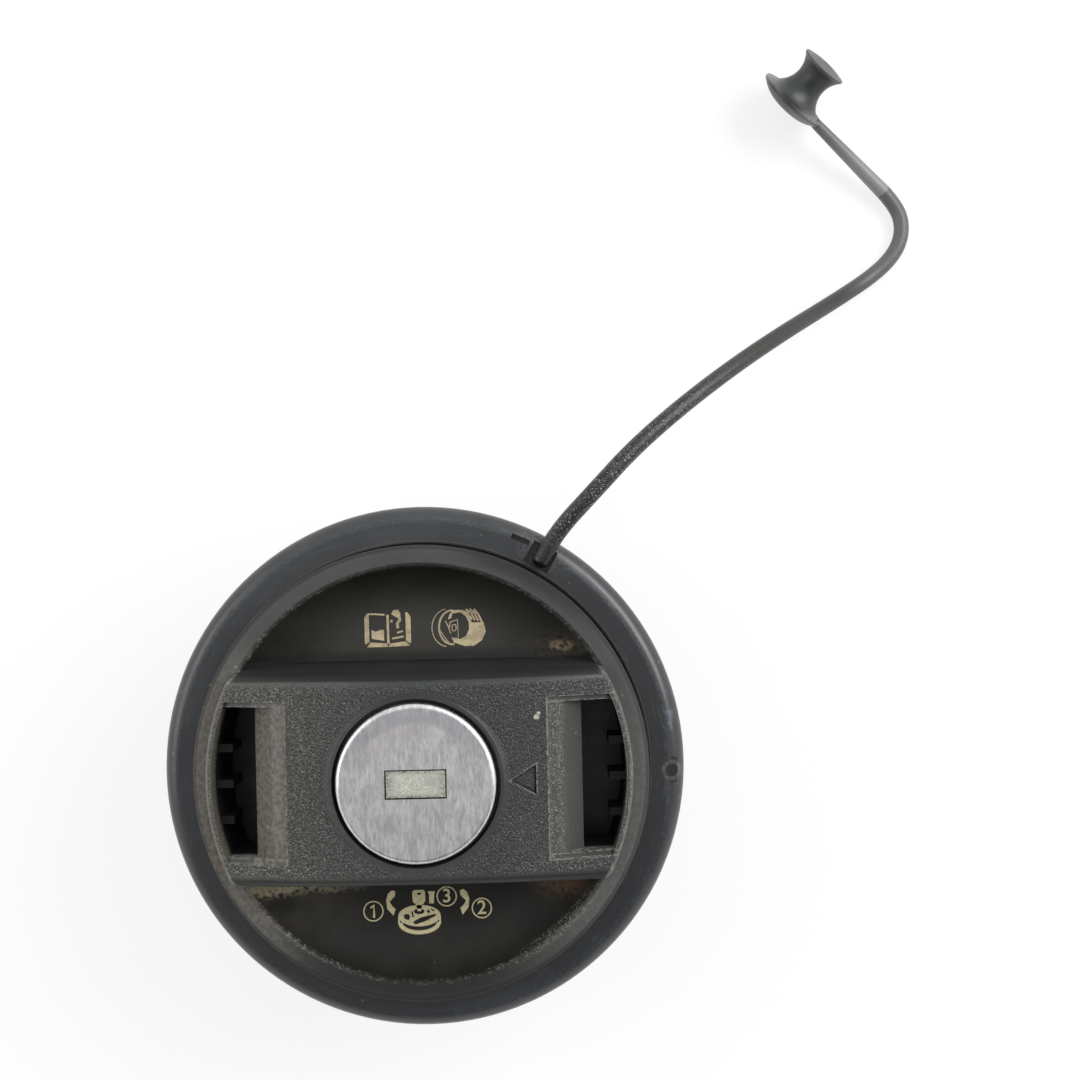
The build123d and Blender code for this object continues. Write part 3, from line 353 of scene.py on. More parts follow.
@dataclass(frozen=True)
class CoverFinish:
    """Dusty dark grey moulded cover: grained bar, smooth dark dish, satin rim."""

    name: str = "cover_plastic"
    bar: Colour = (0.031, 0.034, 0.032)
    # Painted shade: the colour along the bar's lower long edge and in the grain's pits.
    pit: Colour = (0.012, 0.013, 0.012)
    # Painted highlight on the peaks of the bar's grain.
    bar_peak_highlight: Colour = (0.180, 0.182, 0.170)
    bar_dusty: Colour = (0.084, 0.082, 0.074)
    # Painted shade: the colour of the bar's upper side wall and of the dish just above the bar's foot.
    side: Colour = (0.008, 0.009, 0.009)
    dish: Colour = (0.005, 0.005, 0.004)
    dish_cloud: Colour = (0.011, 0.010, 0.0075)
    # Painted sheen on the upper half of the dish.
    dish_upper_sheen: Colour = (0.034, 0.033, 0.029)
    rim: Colour = (0.061, 0.062, 0.060)
    rim_worn: Colour = (0.104, 0.104, 0.098)
    # Painted shade on the rim towards -Y.
    rim_low_shade: Colour = (0.015, 0.016, 0.014)
    rim_shade: Colour = (0.012, 0.013, 0.014)
    dust: Colour = (0.165, 0.152, 0.130)
    cream: Colour = (0.40, 0.36, 0.25)
    brown: Colour = (0.050, 0.040, 0.028)
    rust: Colour = (0.120, 0.065, 0.034)
    # Wear, and painted highlights along the window frames and round the pointer.
    wear_and_highlight: Colour = (0.26, 0.26, 0.23)
    # Painted shade down the window shafts.
    inside: Colour = (0.006, 0.006, 0.006)
    haze: Colour = (0.066, 0.060, 0.048)
    stain: Colour = (0.26, 0.21, 0.13)
    fog: Colour = (0.055, 0.047, 0.034)
    # Painted glints on the bar's grain.
    spark_highlight: Colour = (0.42, 0.42, 0.38)
    pointer: Colour = (0.040, 0.042, 0.040)
    # Painted shade: a dark line just inside the pointer's recessed edge.
    pointer_line: Colour = (0.010, 0.010, 0.010)
    chip: Colour = (0.60, 0.56, 0.48)
    ramp_dusty: Colour = (0.086, 0.080, 0.068)
    # Painted glints on the dusty left ramp.
    ramp_dusty_spark_highlight: Colour = (0.28, 0.26, 0.22)
    ramp_grey: Colour = (0.048, 0.052, 0.046)
    # Painted highlight on the grain's peaks of the right ramp.
    ramp_peak_highlight: Colour = (0.150, 0.152, 0.138)
    # Painted glints on the right ramp.
    ramp_spark_highlight: Colour = (0.34, 0.34, 0.31)
    scab: Colour = (0.22, 0.14, 0.085)
    # Thin lines at the windows' outer arcs: painted highlight mixed with worn chips.
    edge_line_wear_and_highlight: Colour = (0.185, 0.165, 0.130)
    dot: Colour = (0.32, 0.31, 0.28)
    grain_depth: float = 0.17

    def make(self) -> bpy.types.Material:
        """Make the material from the cover's own sizes."""
        g = Surface(self.name)
        m = CoverMap(g)
        colour = self._dish(g, m)
        colour = g.mix(m.bar, colour, self._bar(g, m))
        # Painted shade on the bar's upper side wall.
        colour = g.mix(m.side * m.y.rise(0.0, 1.0) * 0.85, colour, self.side)
        colour = self._wells(g, m, colour)
        colour = self._rim(g, m, colour)
        relief = m.flat * m.pebbles + m.fine * 0.06 + m.spots * 0.06
        outer = m.r.rise(33.4, 34.2)
        low = (1 - m.above) * (1 - m.rim)
        gloss = 0.42 + m.flat * 0.08 + low * 0.12 + outer * 0.35 + m.side * 0.30 + (m.spots - 0.5) * 0.20
        return g.finish(colour, gloss, relief, self.grain_depth, specular=0.36)

    def _dish(self, g: Surface, m: CoverMap) -> bpy.types.NodeSocket:
        """Smooth dish, with a painted sheen in its upper half, painted shade just above the bar's foot, and
        dirt along the foot of the bar.
        """
        colour = g.mix(m.cloud.rise(0.40, 0.66), self.dish, self.dish_cloud)
        upper = m.y.rise(-1.0, 1.0)
        # Painted sheen over the upper half of the dish, round the pictograms.
        sheen_patch = m.blot(1.0, 22.5, 44.0, 11.0, 0.7)
        colour = g.mix(sheen_patch * upper * 0.9, colour, self.dish_upper_sheen)
        away = abs(m.y) - m.size.bar_foot
        foot = away.band(0.9, 2.0, 1.0) * (1 - abs(m.x).rise(24.0, 28.0))
        colour = g.mix(foot * upper * m.cloud.rise(0.36, 0.62) * 0.30, colour, self.brown)
        # Painted shade on the dish just above the bar's foot.
        dark = (1 - away.rise(0.3, 1.8)) * upper
        colour = g.mix(dark * 0.8, colour, self.side)
        haze = m.blot(23.5, 18.9, 11.0, 4.6, 0.8) * (1 - m.above)
        colour = g.mix(haze * m.spots.rise(0.30, 0.62) * 0.8, colour, self.haze)
        stain = m.blot(21.9, 18.9, 3.4, 1.5, 0.6) * m.spots.rise(0.36, 0.56)
        colour = g.mix(stain * 0.9, colour, self.stain)
        near = 1 - away.rise(0.0, 3.2)
        crust = m.blot(-21.3, -18.0, 17.0, 7.0, 0.6) * (1 - upper)
        colour = g.mix(crust * m.spots.rise(0.26, 0.56) * near * 0.8, colour, self.brown)
        lumps = (m.spots + near * 0.34).rise(0.62, 0.86)
        colour = g.mix(crust * (1 - away.rise(0.8, 2.4)) * lumps, colour, self.cream)
        fog = m.blot(-20.0, -19.5, 17.0, 6.0, 0.8) * m.cloud.rise(0.3, 0.6) * (1 - upper)
        colour = g.mix(fog * 0.45, colour, self.fog)
        rust = m.blot(20.6, -18.0, 7.5, 3.6, 0.7) * (m.spots + near * 0.15).rise(0.40, 0.66)
        return g.mix(rust * (1 - upper) * 0.7, colour, self.rust)

    def _bar(self, g: Surface, m: CoverMap) -> bpy.types.NodeSocket:
        """Grained bar, dustier on the left, with the pointer's lines and one pale chip."""
        colour = g.mix(m.cloud.rise(0.3, 0.7), self.bar, tuple(c * 1.3 for c in self.bar))
        colour = g.mix(m.left * (0.45 + 0.4 * m.spots.rise(0.40, 0.62)), colour, self.bar_dusty)
        # Painted shade along the bar's lower long edge.
        colour = g.mix((1 - m.y.rise(-14.5, -13.9)) * 0.75, colour, self.pit)
        # Painted highlights on the grain's peaks: stronger on the left, near the ends of the long edges and
        # along the lower edge.
        edge = abs(m.y).rise(11.6, 12.6) * abs(m.x).rise(12.0, 20.0)
        lower = 1 - m.y.rise(-13.6, -12.2)
        share = 0.22 + m.left * 0.22 + edge * (0.25 + lower * 0.30)
        colour = g.mix(m.flat * m.pebbles.rise(0.48, 0.78) * share, colour, self.bar_peak_highlight)
        # Painted shade in the pits between the grain's pebbles.
        colour = g.mix(m.flat * (1 - m.pebbles.rise(0.16, 0.40)) * 0.55, colour, self.pit)
        # Painted glints on the grain: more on the left and near the long edges.
        sparks = m.glints.rise(0.60, 0.68) * (0.30 + m.left * 0.25 + edge * 0.35)
        colour = g.mix(m.flat * sparks, colour, self.spark_highlight)
        size = m.size
        length = size.pointer_base - size.pointer_tip
        slant = math.hypot(length, size.pointer_half)
        side = (m.x - size.pointer_tip) * (size.pointer_half / slant) - abs(m.y) * (length / slant)
        inset = side.least(size.pointer_base - m.x)
        colour = g.mix(inset.rise(0.10, 0.25), colour, self.pointer)
        # Painted shade just inside the pointer's edge. Just outside it is a painted highlight that is
        # partly wear.
        colour = g.mix(inset.band(-0.02, 0.16, 0.06), colour, self.pointer_line)
        colour = g.mix(inset.band(-0.26, -0.10, 0.06) * m.spots.rise(0.42, 0.56) * 0.5, colour, self.wear_and_highlight)
        chip = m.blot(17.9, 9.2, 0.75, 0.70, 0.5).most(m.blot(18.2, 9.75, 0.5, 0.45, 0.5))
        return g.mix(chip * m.fine.rise(0.34, 0.48), colour, self.chip)

    def _wells(self, g: Surface, m: CoverMap, colour: bpy.types.NodeSocket) -> bpy.types.NodeSocket:
        """Sloping window faces with painted highlights and glints, frame lines of wear and painted
        highlight, and painted shade down the shafts.
        """
        size = m.size
        ramp = 1 - abs(m.x).rise(size.ramp_end + 0.05, size.ramp_end + 0.2)
        ramp = m.well * ramp * m.z.rise(40.0, 41.5)
        dusty = g.mix(m.spots.rise(0.38, 0.62), self.ramp_dusty, self.dust)
        # Painted glints on the dusty ramp.
        dusty = g.mix(m.glints.rise(0.62, 0.70) * 0.5, dusty, self.ramp_dusty_spark_highlight)
        step = 1 - m.x.rise(21.2, 22.6)
        # Painted highlights on the grain's peaks and painted glints, strongest by the right ramp's step.
        grey = g.mix(m.pebbles.rise(0.4, 0.7) * (0.15 + step * 0.6), self.ramp_grey, self.ramp_peak_highlight)
        grey = g.mix(step * m.glints.rise(0.58, 0.66) * 0.7, grey, self.ramp_spark_highlight)
        colour = g.mix(ramp, colour, g.mix(m.left, grey, dusty))
        # Frame lines along the windows' edges: wear and painted highlight.
        lines = 1 - abs(abs(m.x) - size.well_start - 0.02).rise(0.06, 0.16)
        lines = lines * (1 - abs(m.y).rise(size.rebate_half, size.rebate_half + 0.1))
        outer = 1 - abs(abs(m.y) - size.rebate_half - 0.02).rise(0.05, 0.14)
        inner = 1 - abs(abs(m.y) - size.well_half - 0.02).rise(0.05, 0.14)
        rows = outer.most(inner) * abs(m.x).rise(size.well_start - 0.1, size.well_start + 0.1)
        lines = lines.most(rows) * m.above
        colour = g.mix(lines * m.spots.rise(0.40, 0.58) * 0.65, colour, self.wear_and_highlight)
        # Painted shade down the window shafts, below the windows' faces.
        deep_shade = (1 - m.z.rise(38.5, 42.4)) * (1 - abs(m.y).rise(12.3, 13.4)) * abs(m.x).rise(18.0, 19.0)
        return g.mix(deep_shade * (1 - m.rim), colour, self.inside)

    def _rim(self, g: Surface, m: CoverMap, colour: bpy.types.NodeSocket) -> bpy.types.NodeSocket:
        """Satin rim, dusty on the left, worn pale on the right, with painted shade towards the front (-Y),
        at the back on the right and along its outer edge.
        """
        ring = g.mix(m.cloud.rise(0.35, 0.65) * 0.5, self.rim, tuple(c * 0.8 for c in self.rim))
        worn = m.x.rise(6.0, 30.0) * (1 - m.y.rise(-2.0, 22.0))
        ring = g.mix(worn * (0.6 + 0.4 * m.spots.rise(0.4, 0.6)), ring, self.rim_worn)
        # Painted shade on the rim towards -Y, less where it is worn.
        ring = g.mix((1 - m.y.rise(-33.0, -16.0)) * (1 - worn * 0.6) * 0.9, ring, self.rim_low_shade)
        dusty = (1 - m.x.rise(-31.0, -15.0)) * (1 - m.y.rise(6.0, 26.0))
        ring = g.mix(dusty * (0.5 + 0.5 * m.spots.rise(0.42, 0.58)), ring, self.dust)
        shade = m.x.rise(2.0, 14.0) * m.y.rise(18.0, 28.0) * m.r.rise(31.8, 34.6)
        ring = g.mix(shade * 0.85, ring, self.rim_shade)
        ring = g.mix(m.r.rise(34.1, 34.6) * 0.7, ring, self.rim_shade)
        scab = m.blot(-31.8, -12.0, 3.0, 13.0, 0.6) * m.spots.rise(0.52, 0.60)
        ring = g.mix(scab * 0.6, ring, self.scab)
        colour = g.mix(m.rim, colour, ring)
        chips = g.noise(1.1, 3.0).rise(0.44, 0.56) * m.glints.rise(0.50, 0.60)
        edge = m.r.band(31.7, 32.2, 0.15) * m.z.rise(37.5, 38.5)
        colour = g.mix(edge * chips * (0.25 + 0.55 * abs(m.x).rise(6.0, 20.0)), colour, self.wear_and_highlight)
        grit = m.r.band(31.3, 32.5, 0.5) * m.x.rise(12.0, 20.0) * (1 - m.y.rise(-21.0, -16.0))
        colour = g.mix(grit * m.glints.rise(0.50, 0.64) * 0.6, colour, self.wear_and_highlight)
        # Thin lines at the windows' outer arcs: painted highlight mixed with worn chips.
        edge_line_wear_and_highlight = m.r.band(31.28, 31.40, 0.07).most(m.r.band(31.95, 32.1, 0.07) * 0.7)
        edge_line_wear_and_highlight = edge_line_wear_and_highlight * m.z.rise(39.5, 40.5) * (1 - abs(m.y).rise(11.5, 12.5))
        colour = g.mix(edge_line_wear_and_highlight * (0.3 + 0.7 * chips), colour, self.edge_line_wear_and_highlight)
        dots = (1 - g.cells(0.30).rise(0.05, 0.09)) * m.spots.rise(0.50, 0.62)
        return g.mix(dots * 0.5 * m.z.rise(36.0, 38.0), colour, self.dot)


@dataclass(frozen=True)
class CollarFinish:
    """Satin charcoal collar with scuffs along its turn, and painted light and shade in places."""

    name: str = "collar_plastic"
    colour: Colour = (0.026, 0.028, 0.031)
    # Scuffs, and a painted highlight at the start of the rolled edge on the right.
    scuff_and_highlight: Colour = (0.055, 0.057, 0.060)
    # Painted shade on the flat of the collar's right half.
    deep_shade: Colour = (0.015, 0.016, 0.018)
    brown: Colour = (0.050, 0.045, 0.038)
    # Painted light on the collar's inner wall by the gap to the rim.
    gap_light: Colour = (0.16, 0.16, 0.15)
    dot: Colour = (0.30, 0.30, 0.29)
    notch: Colour = (0.095, 0.100, 0.105)
    # Painted bluish highlight on the rolled edge on the right.
    bluish_highlight: Colour = (0.10, 0.13, 0.17)
    # A dent drawn only in colour: painted highlight round its rim and painted shade on its floor.
    dent_rim_highlight: Colour = (0.11, 0.11, 0.10)
    dent_floor_shade: Colour = (0.008, 0.008, 0.008)
    highlight_place: Point2 = (38.5, 6.6)
    pit_place: Point2 = (38.9, -1.3)

    def make(self) -> bpy.types.Material:
        """Make the material, with streaks that follow the ring."""
        g = Surface(self.name)
        x, y, z = g.axes(g.place())
        r = (x * x + y * y).root()
        along = y.turn_from(x)
        ring = g.point(along * 9.0, r * 1.6, z * 1.6)
        streaks = g.noise(1.0, 4.0, ring, 0.6)
        cloud = g.noise(0.12, 3.0)
        spots = g.noise(2.2, 3.0, roughness=0.7)
        colour = g.mix(cloud.rise(0.35, 0.7), self.colour, tuple(c * 1.3 for c in self.colour))
        # Painted shade on the flat of the collar's right half.
        colour = g.mix(x.rise(4.0, 30.0) * (1 - r.rise(38.0, 39.0)) * 0.7, colour, self.deep_shade)
        colour = g.mix(streaks.rise(0.56, 0.74) * 0.55, colour, self.scuff_and_highlight)
        edge = r.band(38.6, 39.4, 0.3) * z.rise(33.2, 33.4) * spots.rise(0.5, 0.6)
        colour = g.mix(edge * 0.6, colour, self.scuff_and_highlight)
        colour = g.mix((1 - x.rise(-30.0, 10.0)) * (1 - y.rise(-30.0, 0.0)) * 0.25, colour, self.brown)
        dots = (1 - g.cells(0.42).rise(0.06, 0.10)) * spots.rise(0.5, 0.6)
        colour = g.mix(dots * 0.6, colour, self.dot)
        # Painted highlight at the inner start of the rolled edge on the right.
        right = x.rise(10.0, 26.0)
        wedge_highlight = r.band(37.9, 38.7, 0.3) * right * (1 - abs(y).rise(3.0, 12.0)) * streaks.rise(0.40, 0.56)
        colour = g.mix(wedge_highlight * 0.6, colour, self.scuff_and_highlight)
        notch = x.band(16.5, 23.0, 2.0) * y.rise(29.0, 31.0) * r.rise(36.0, 36.6) * spots.rise(0.46, 0.60)
        colour = g.mix(notch * 0.5, colour, self.notch)
        # Painted bluish highlight on the rolled edge on the right.
        streak = ((x - self.highlight_place[0]) * 0.9).band(-0.7, 0.7, 0.4)
        streak = streak * (y - self.highlight_place[1]).band(-1.2, 1.2, 0.6) * streaks.rise(0.45, 0.6)
        colour = g.mix(streak * 0.6, colour, self.bluish_highlight)
        # A dent drawn only in colour: painted highlight round its rim and painted shade on its floor.
        across, up = x - self.pit_place[0], y - self.pit_place[1]
        pit = (across * across + up * up).root()
        colour = g.mix(pit.band(1.1, 1.5, 0.2) * spots.rise(0.40, 0.54) * 0.7, colour, self.dent_rim_highlight)
        colour = g.mix((1 - pit.rise(0.8, 1.1)) * 0.8, colour, self.dent_floor_shade)
        # Painted light on the collar's inner wall by the gap to the rim.
        wall = (1 - r.rise(35.5, 35.75)) * z.rise(30.5, 32.5)
        colour = g.mix(wall * 0.8, colour, self.gap_light)
        return g.finish(colour, 0.33 + (streaks - 0.5) * 0.2 + (spots - 0.5) * 0.1,
                        streaks * 0.6 + spots * 0.4, 0.012, specular=0.6)


@dataclass(frozen=True)
class BrushedDisc:
    """Brushed steel face, with scratches and a painted darker reflection just inside its upper rim."""

    name: str = "brushed_disc"
    colour: Colour = (0.86, 0.855, 0.85)
    dull: Colour = (0.60, 0.595, 0.60)
    stroke: Colour = (1.0, 1.0, 0.99)
    scratch: Colour = (1.0, 1.0, 1.0)
    blot: Colour = (0.98, 0.98, 0.97)
    dark_blot: Colour = (0.52, 0.51, 0.52)
    purple: Colour = (0.64, 0.56, 0.61)
    # Painted reflection: the darker band just inside the disc's upper rim.
    band: Colour = (0.44, 0.46, 0.50)

    def make(self) -> bpy.types.Material:
        """Make the material, brushed along Y."""
        g = Surface(self.name)
        x, y, _ = g.axes(g.place())
        lines = g.noise(1.0, 4.0, g.stretched((4.2, 0.55, 1.0)), 0.7)
        strokes = g.noise(1.0, 3.0, g.stretched((2.4, 0.30, 1.0), 7.0), 0.65)
        slant = g.noise(1.0, 2.0, g.stretched((9.0, 0.22, 1.0), 24.0), 0.5).rise(0.66, 0.70)
        cross = g.noise(1.0, 2.0, g.stretched((9.0, 0.22, 1.0), -17.0), 0.5).rise(0.67, 0.71)
        cloud = g.noise(0.14, 2.0)
        blots = g.noise(0.45, 5.0, g.stretched((1.0, 0.6, 1.0), 20.0), 0.7)
        wander = g.noise(1.0, 4.0, g.stretched((2.2, 0.50, 1.0), -12.0), 0.75)
        colour = g.mix((lines * 0.45 + wander * 0.55).rise(0.36, 0.64), self.dull, self.colour)
        colour = g.mix(strokes.rise(0.55, 0.66) * 0.6, colour, self.stroke)
        colour = g.mix(blots.rise(0.50, 0.62) * 0.35, colour, self.blot)
        colour = g.mix((1 - blots.rise(0.36, 0.48)) * 0.45, colour, self.dark_blot)
        colour = g.mix(cloud.rise(0.40, 0.62) * y.rise(0.0, 9.0) * 0.5, colour, self.purple)
        colour = g.mix((slant + cross).least(1.0) * 0.6, colour, self.scratch)
        r = (x * x + y * y).root()
        # Painted darker reflection just inside the disc's upper rim.
        dark_reflection = (r + wander * 2.0).band(10.3, 11.9, 0.7) * y.rise(2.0, 8.0) * 0.5
        colour = g.mix(dark_reflection, colour, self.band)
        rough = 0.36 + (wander - 0.5) * 0.25 + (slant + cross) * -0.1
        return g.finish(colour, rough, lines * 0.7 + strokes * 0.3, 0.010, metallic=1.0)


@dataclass(frozen=True)
class ShutterFinish:
    """Dull, speckled steel of the key shutter."""

    name: str = "shutter_steel"
    colour: Colour = (0.80, 0.80, 0.72)
    rubbed: Colour = (0.62, 0.62, 0.54)
    dirt: Colour = (0.22, 0.22, 0.18)
    mark: Colour = (0.30, 0.30, 0.27)

    def make(self) -> bpy.types.Material:
        """Make the material, dirtier towards the flap's edges."""
        g = Surface(self.name)
        x, y, _ = g.axes(g.place())
        specks = g.noise(3.2, 3.0, roughness=0.7)
        edge = abs(x).rise(2.6, 4.3).most(abs(y).rise(1.2, 1.9))
        colour = g.mix(specks.rise(0.42, 0.62), self.rubbed, self.colour)
        colour = g.mix(edge * specks.rise(0.46, 0.58), colour, self.dirt)
        mark = (x - 2.2).band(-0.7, 0.7, 0.3) * y.band(-0.1, 0.8, 0.3)
        colour = g.mix(mark * specks.rise(0.36, 0.56) * 0.35, colour, self.mark)
        return g.finish(colour, 0.46 + (specks - 0.5) * 0.3, specks, 0.02, metallic=0.9)


@dataclass(frozen=True)
class TetherFinish:
    """Black rubber cord, rough and glittery near the cap, smoother and greyer further out."""

    name: str = "tether_rubber"
    colour: Colour = (0.007, 0.007, 0.008)
    middle: Colour = (0.021, 0.019, 0.016)
    far: Colour = (0.105, 0.105, 0.101)
    speck: Colour = (0.46, 0.46, 0.45)
    bloom: Colour = (0.05, 0.05, 0.05)
    rough_until: float = 52.0
    smooth_from: float = 96.0

    def make(self) -> bpy.types.Material:
        """Make the material, fading with the distance from the cap's axis."""
        g = Surface(self.name)
        x, y, _ = g.axes(g.place())
        r = (x * x + y * y).root()
        near = 1 - r.rise(self.rough_until, self.smooth_from)
        rough = g.noise(3.2, 3.0, roughness=0.75)
        fine = g.noise(7.0, 1.0)
        colour = g.mix(r.rise(56.0, 84.0), self.colour, self.middle)
        colour = g.mix(r.rise(104.0, 117.0), colour, self.far)
        colour = g.mix(rough.rise(0.45, 0.62) * 0.25, colour, self.bloom)
        glitter = rough.rise(0.55, 0.62) * fine.rise(0.48, 0.58) * near * r.rise(39.0, 44.0)
        colour = g.mix(glitter, colour, self.speck)
        relief = rough * (0.25 + 0.75 * near) + fine * 0.15
        return g.finish(colour, 0.30 + (rough - 0.5) * 0.3 + (1 - near) * 0.12, relief, 0.09)


@dataclass(frozen=True)
class AnchorFinish:
    """Dusty grey rubber of the tether's plug."""

    name: str = "anchor_rubber"
    colour: Colour = (0.024, 0.026, 0.027)
    cloudy: Colour = (0.040, 0.042, 0.041)
    lip: Colour = (0.110, 0.112, 0.100)
    # Painted highlight on the flange's tip.
    tip: Colour = (0.20, 0.20, 0.195)
    # Painted highlight on the tail.
    pale: Colour = (0.215, 0.215, 0.210)
    centre: Point3 = (65.2, 111.5, 5.99)
    flange_tip: Point2 = (61.2, 117.4)
    heading: float = 44.0
    tilt: float = 28.0

    def make(self) -> bpy.types.Material:
        """Make the material: a painted highlight on the flange's tip and on the tail, and paler on the
        head's lip.
        """
        g = Surface(self.name)
        x, y, z = g.axes(g.place())
        cloud = g.noise(0.35, 3.0)
        spots = g.noise(1.6, 3.0)
        # Painted highlight along the tail, fading towards the flange.
        tail = (1 - y.rise(98.0, 108.0) * 0.6) * (1 - y.rise(107.0, 109.5))
        across, up = x - self.flange_tip[0], y - self.flange_tip[1]
        tip = (across * across + up * up).root()
        turn, lean = math.radians(self.heading), math.radians(self.tilt)
        axis = (math.cos(lean) * math.cos(turn), math.cos(lean) * math.sin(turn), math.sin(lean))
        out = sum((spot - middle) * share for spot, middle, share in zip((x, y, z), self.centre, axis))
        lip = out.band(7.4, 8.1, 0.3)
        colour = g.mix(cloud.rise(0.35, 0.65) * 0.5, self.colour, self.cloudy)
        colour = g.mix(lip * 0.55, colour, self.lip)
        # Painted highlight on the flange's tip.
        colour = g.mix((1 - tip.rise(0.0, 5.5)) * (1 - out.rise(1.0, 2.5)), colour, self.tip)
        colour = g.mix(tail, colour, self.pale)
        return g.finish(colour, 0.42 + (spots - 0.5) * 0.2, spots, 0.02)


@dataclass(frozen=True)
class PrintFinish:
    """Worn cream print."""

    name: str = "print_cream"
    colour: Colour = (0.46, 0.39, 0.24)
    tan: Colour = (0.36, 0.29, 0.18)
    fresh: Colour = (0.62, 0.56, 0.33)
    worn: Colour = (0.09, 0.08, 0.06)

    def make(self) -> bpy.types.Material:
        """Make the material, rubbed thin in places."""
        g = Surface(self.name)
        patch = g.noise(0.55, 2.0)
        specks = g.noise(2.8, 3.0, roughness=0.7)
        colour = g.mix(patch.rise(0.40, 0.62), self.colour, self.tan)
        below = 1 - g.axes(g.place())[1].rise(-1.0, 1.0)
        colour = g.mix(below * (0.7 + 0.3 * patch.rise(0.40, 0.62)), colour, self.fresh)
        colour = g.mix(specks.rise(0.55, 0.70) * 0.65, colour, self.worn)
        return g.finish(colour, 0.55, specks, 0.01)


@dataclass(frozen=True)
class FloorFinish:
    """Plain pale floor."""

    name: str = "pale_floor"
    colour: Colour = (0.95, 0.95, 0.95)
    lift: float = 0.78

    def make(self) -> bpy.types.Material:
        """Make the material, whiter to the eye so that only a soft shadow shows."""
        g = Surface(self.name)
        g.finish(self.colour, 0.8, specular=0.0)
        path = g.add("ShaderNodeLightPath")
        seen = Level(g, path.outputs["Is Camera Ray"]) + Level(g, path.outputs["Is Glossy Ray"])
        seen = (seen + Level(g, path.outputs["Is Transmission Ray"])).least(1.0)
        glow = g.add("ShaderNodeEmission", values={"Color": (1.0, 1.0, 1.0)})
        blend = g.add("ShaderNodeMixShader", values={
            0: seen * self.lift, 1: g.shader.outputs["BSDF"], 2: glow.outputs[0]})
        g.tree.links.new(blend.outputs[0], g.output.inputs["Surface"])
        return g.material


# ---------------------------------------------------------------- shared modelling
def select_only(obj: bpy.types.Object) -> None:
    """Make one object the only one selected, and active."""
    bpy.ops.object.select_all(action="DESELECT")
    obj.select_set(True)
    bpy.context.view_layer.objects.active = obj


def settle(obj: bpy.types.Object) -> None:
    """Move an object's place into its mesh."""
    obj.data.transform(obj.matrix_world)
    obj.matrix_world = Matrix.Identity(4)


def dress(obj: bpy.types.Object, material: bpy.types.Material) -> None:
    """Give a piece one material."""
    obj.data.materials.clear()
    obj.data.materials.append(material)


@dataclass
class Dish:
    """The cover's dished top, as a height over any point."""

    floor: float = 34.5
    floor_radius: float = 23.0
    edge_radius: float = 31.9
    edge_height: float = 39.3

    def height(self, x: float, y: float) -> float:
        """Height of the dish at a point, in millimetres."""
        run = self.edge_radius - self.floor_radius
        rise = self.edge_height - self.floor
        bend = (run ** 2 + rise ** 2) / (2 * rise)
        out = min(max(math.hypot(x, y) - self.floor_radius, 0.0), run)
        return self.floor + bend - math.sqrt(bend ** 2 - out ** 2)


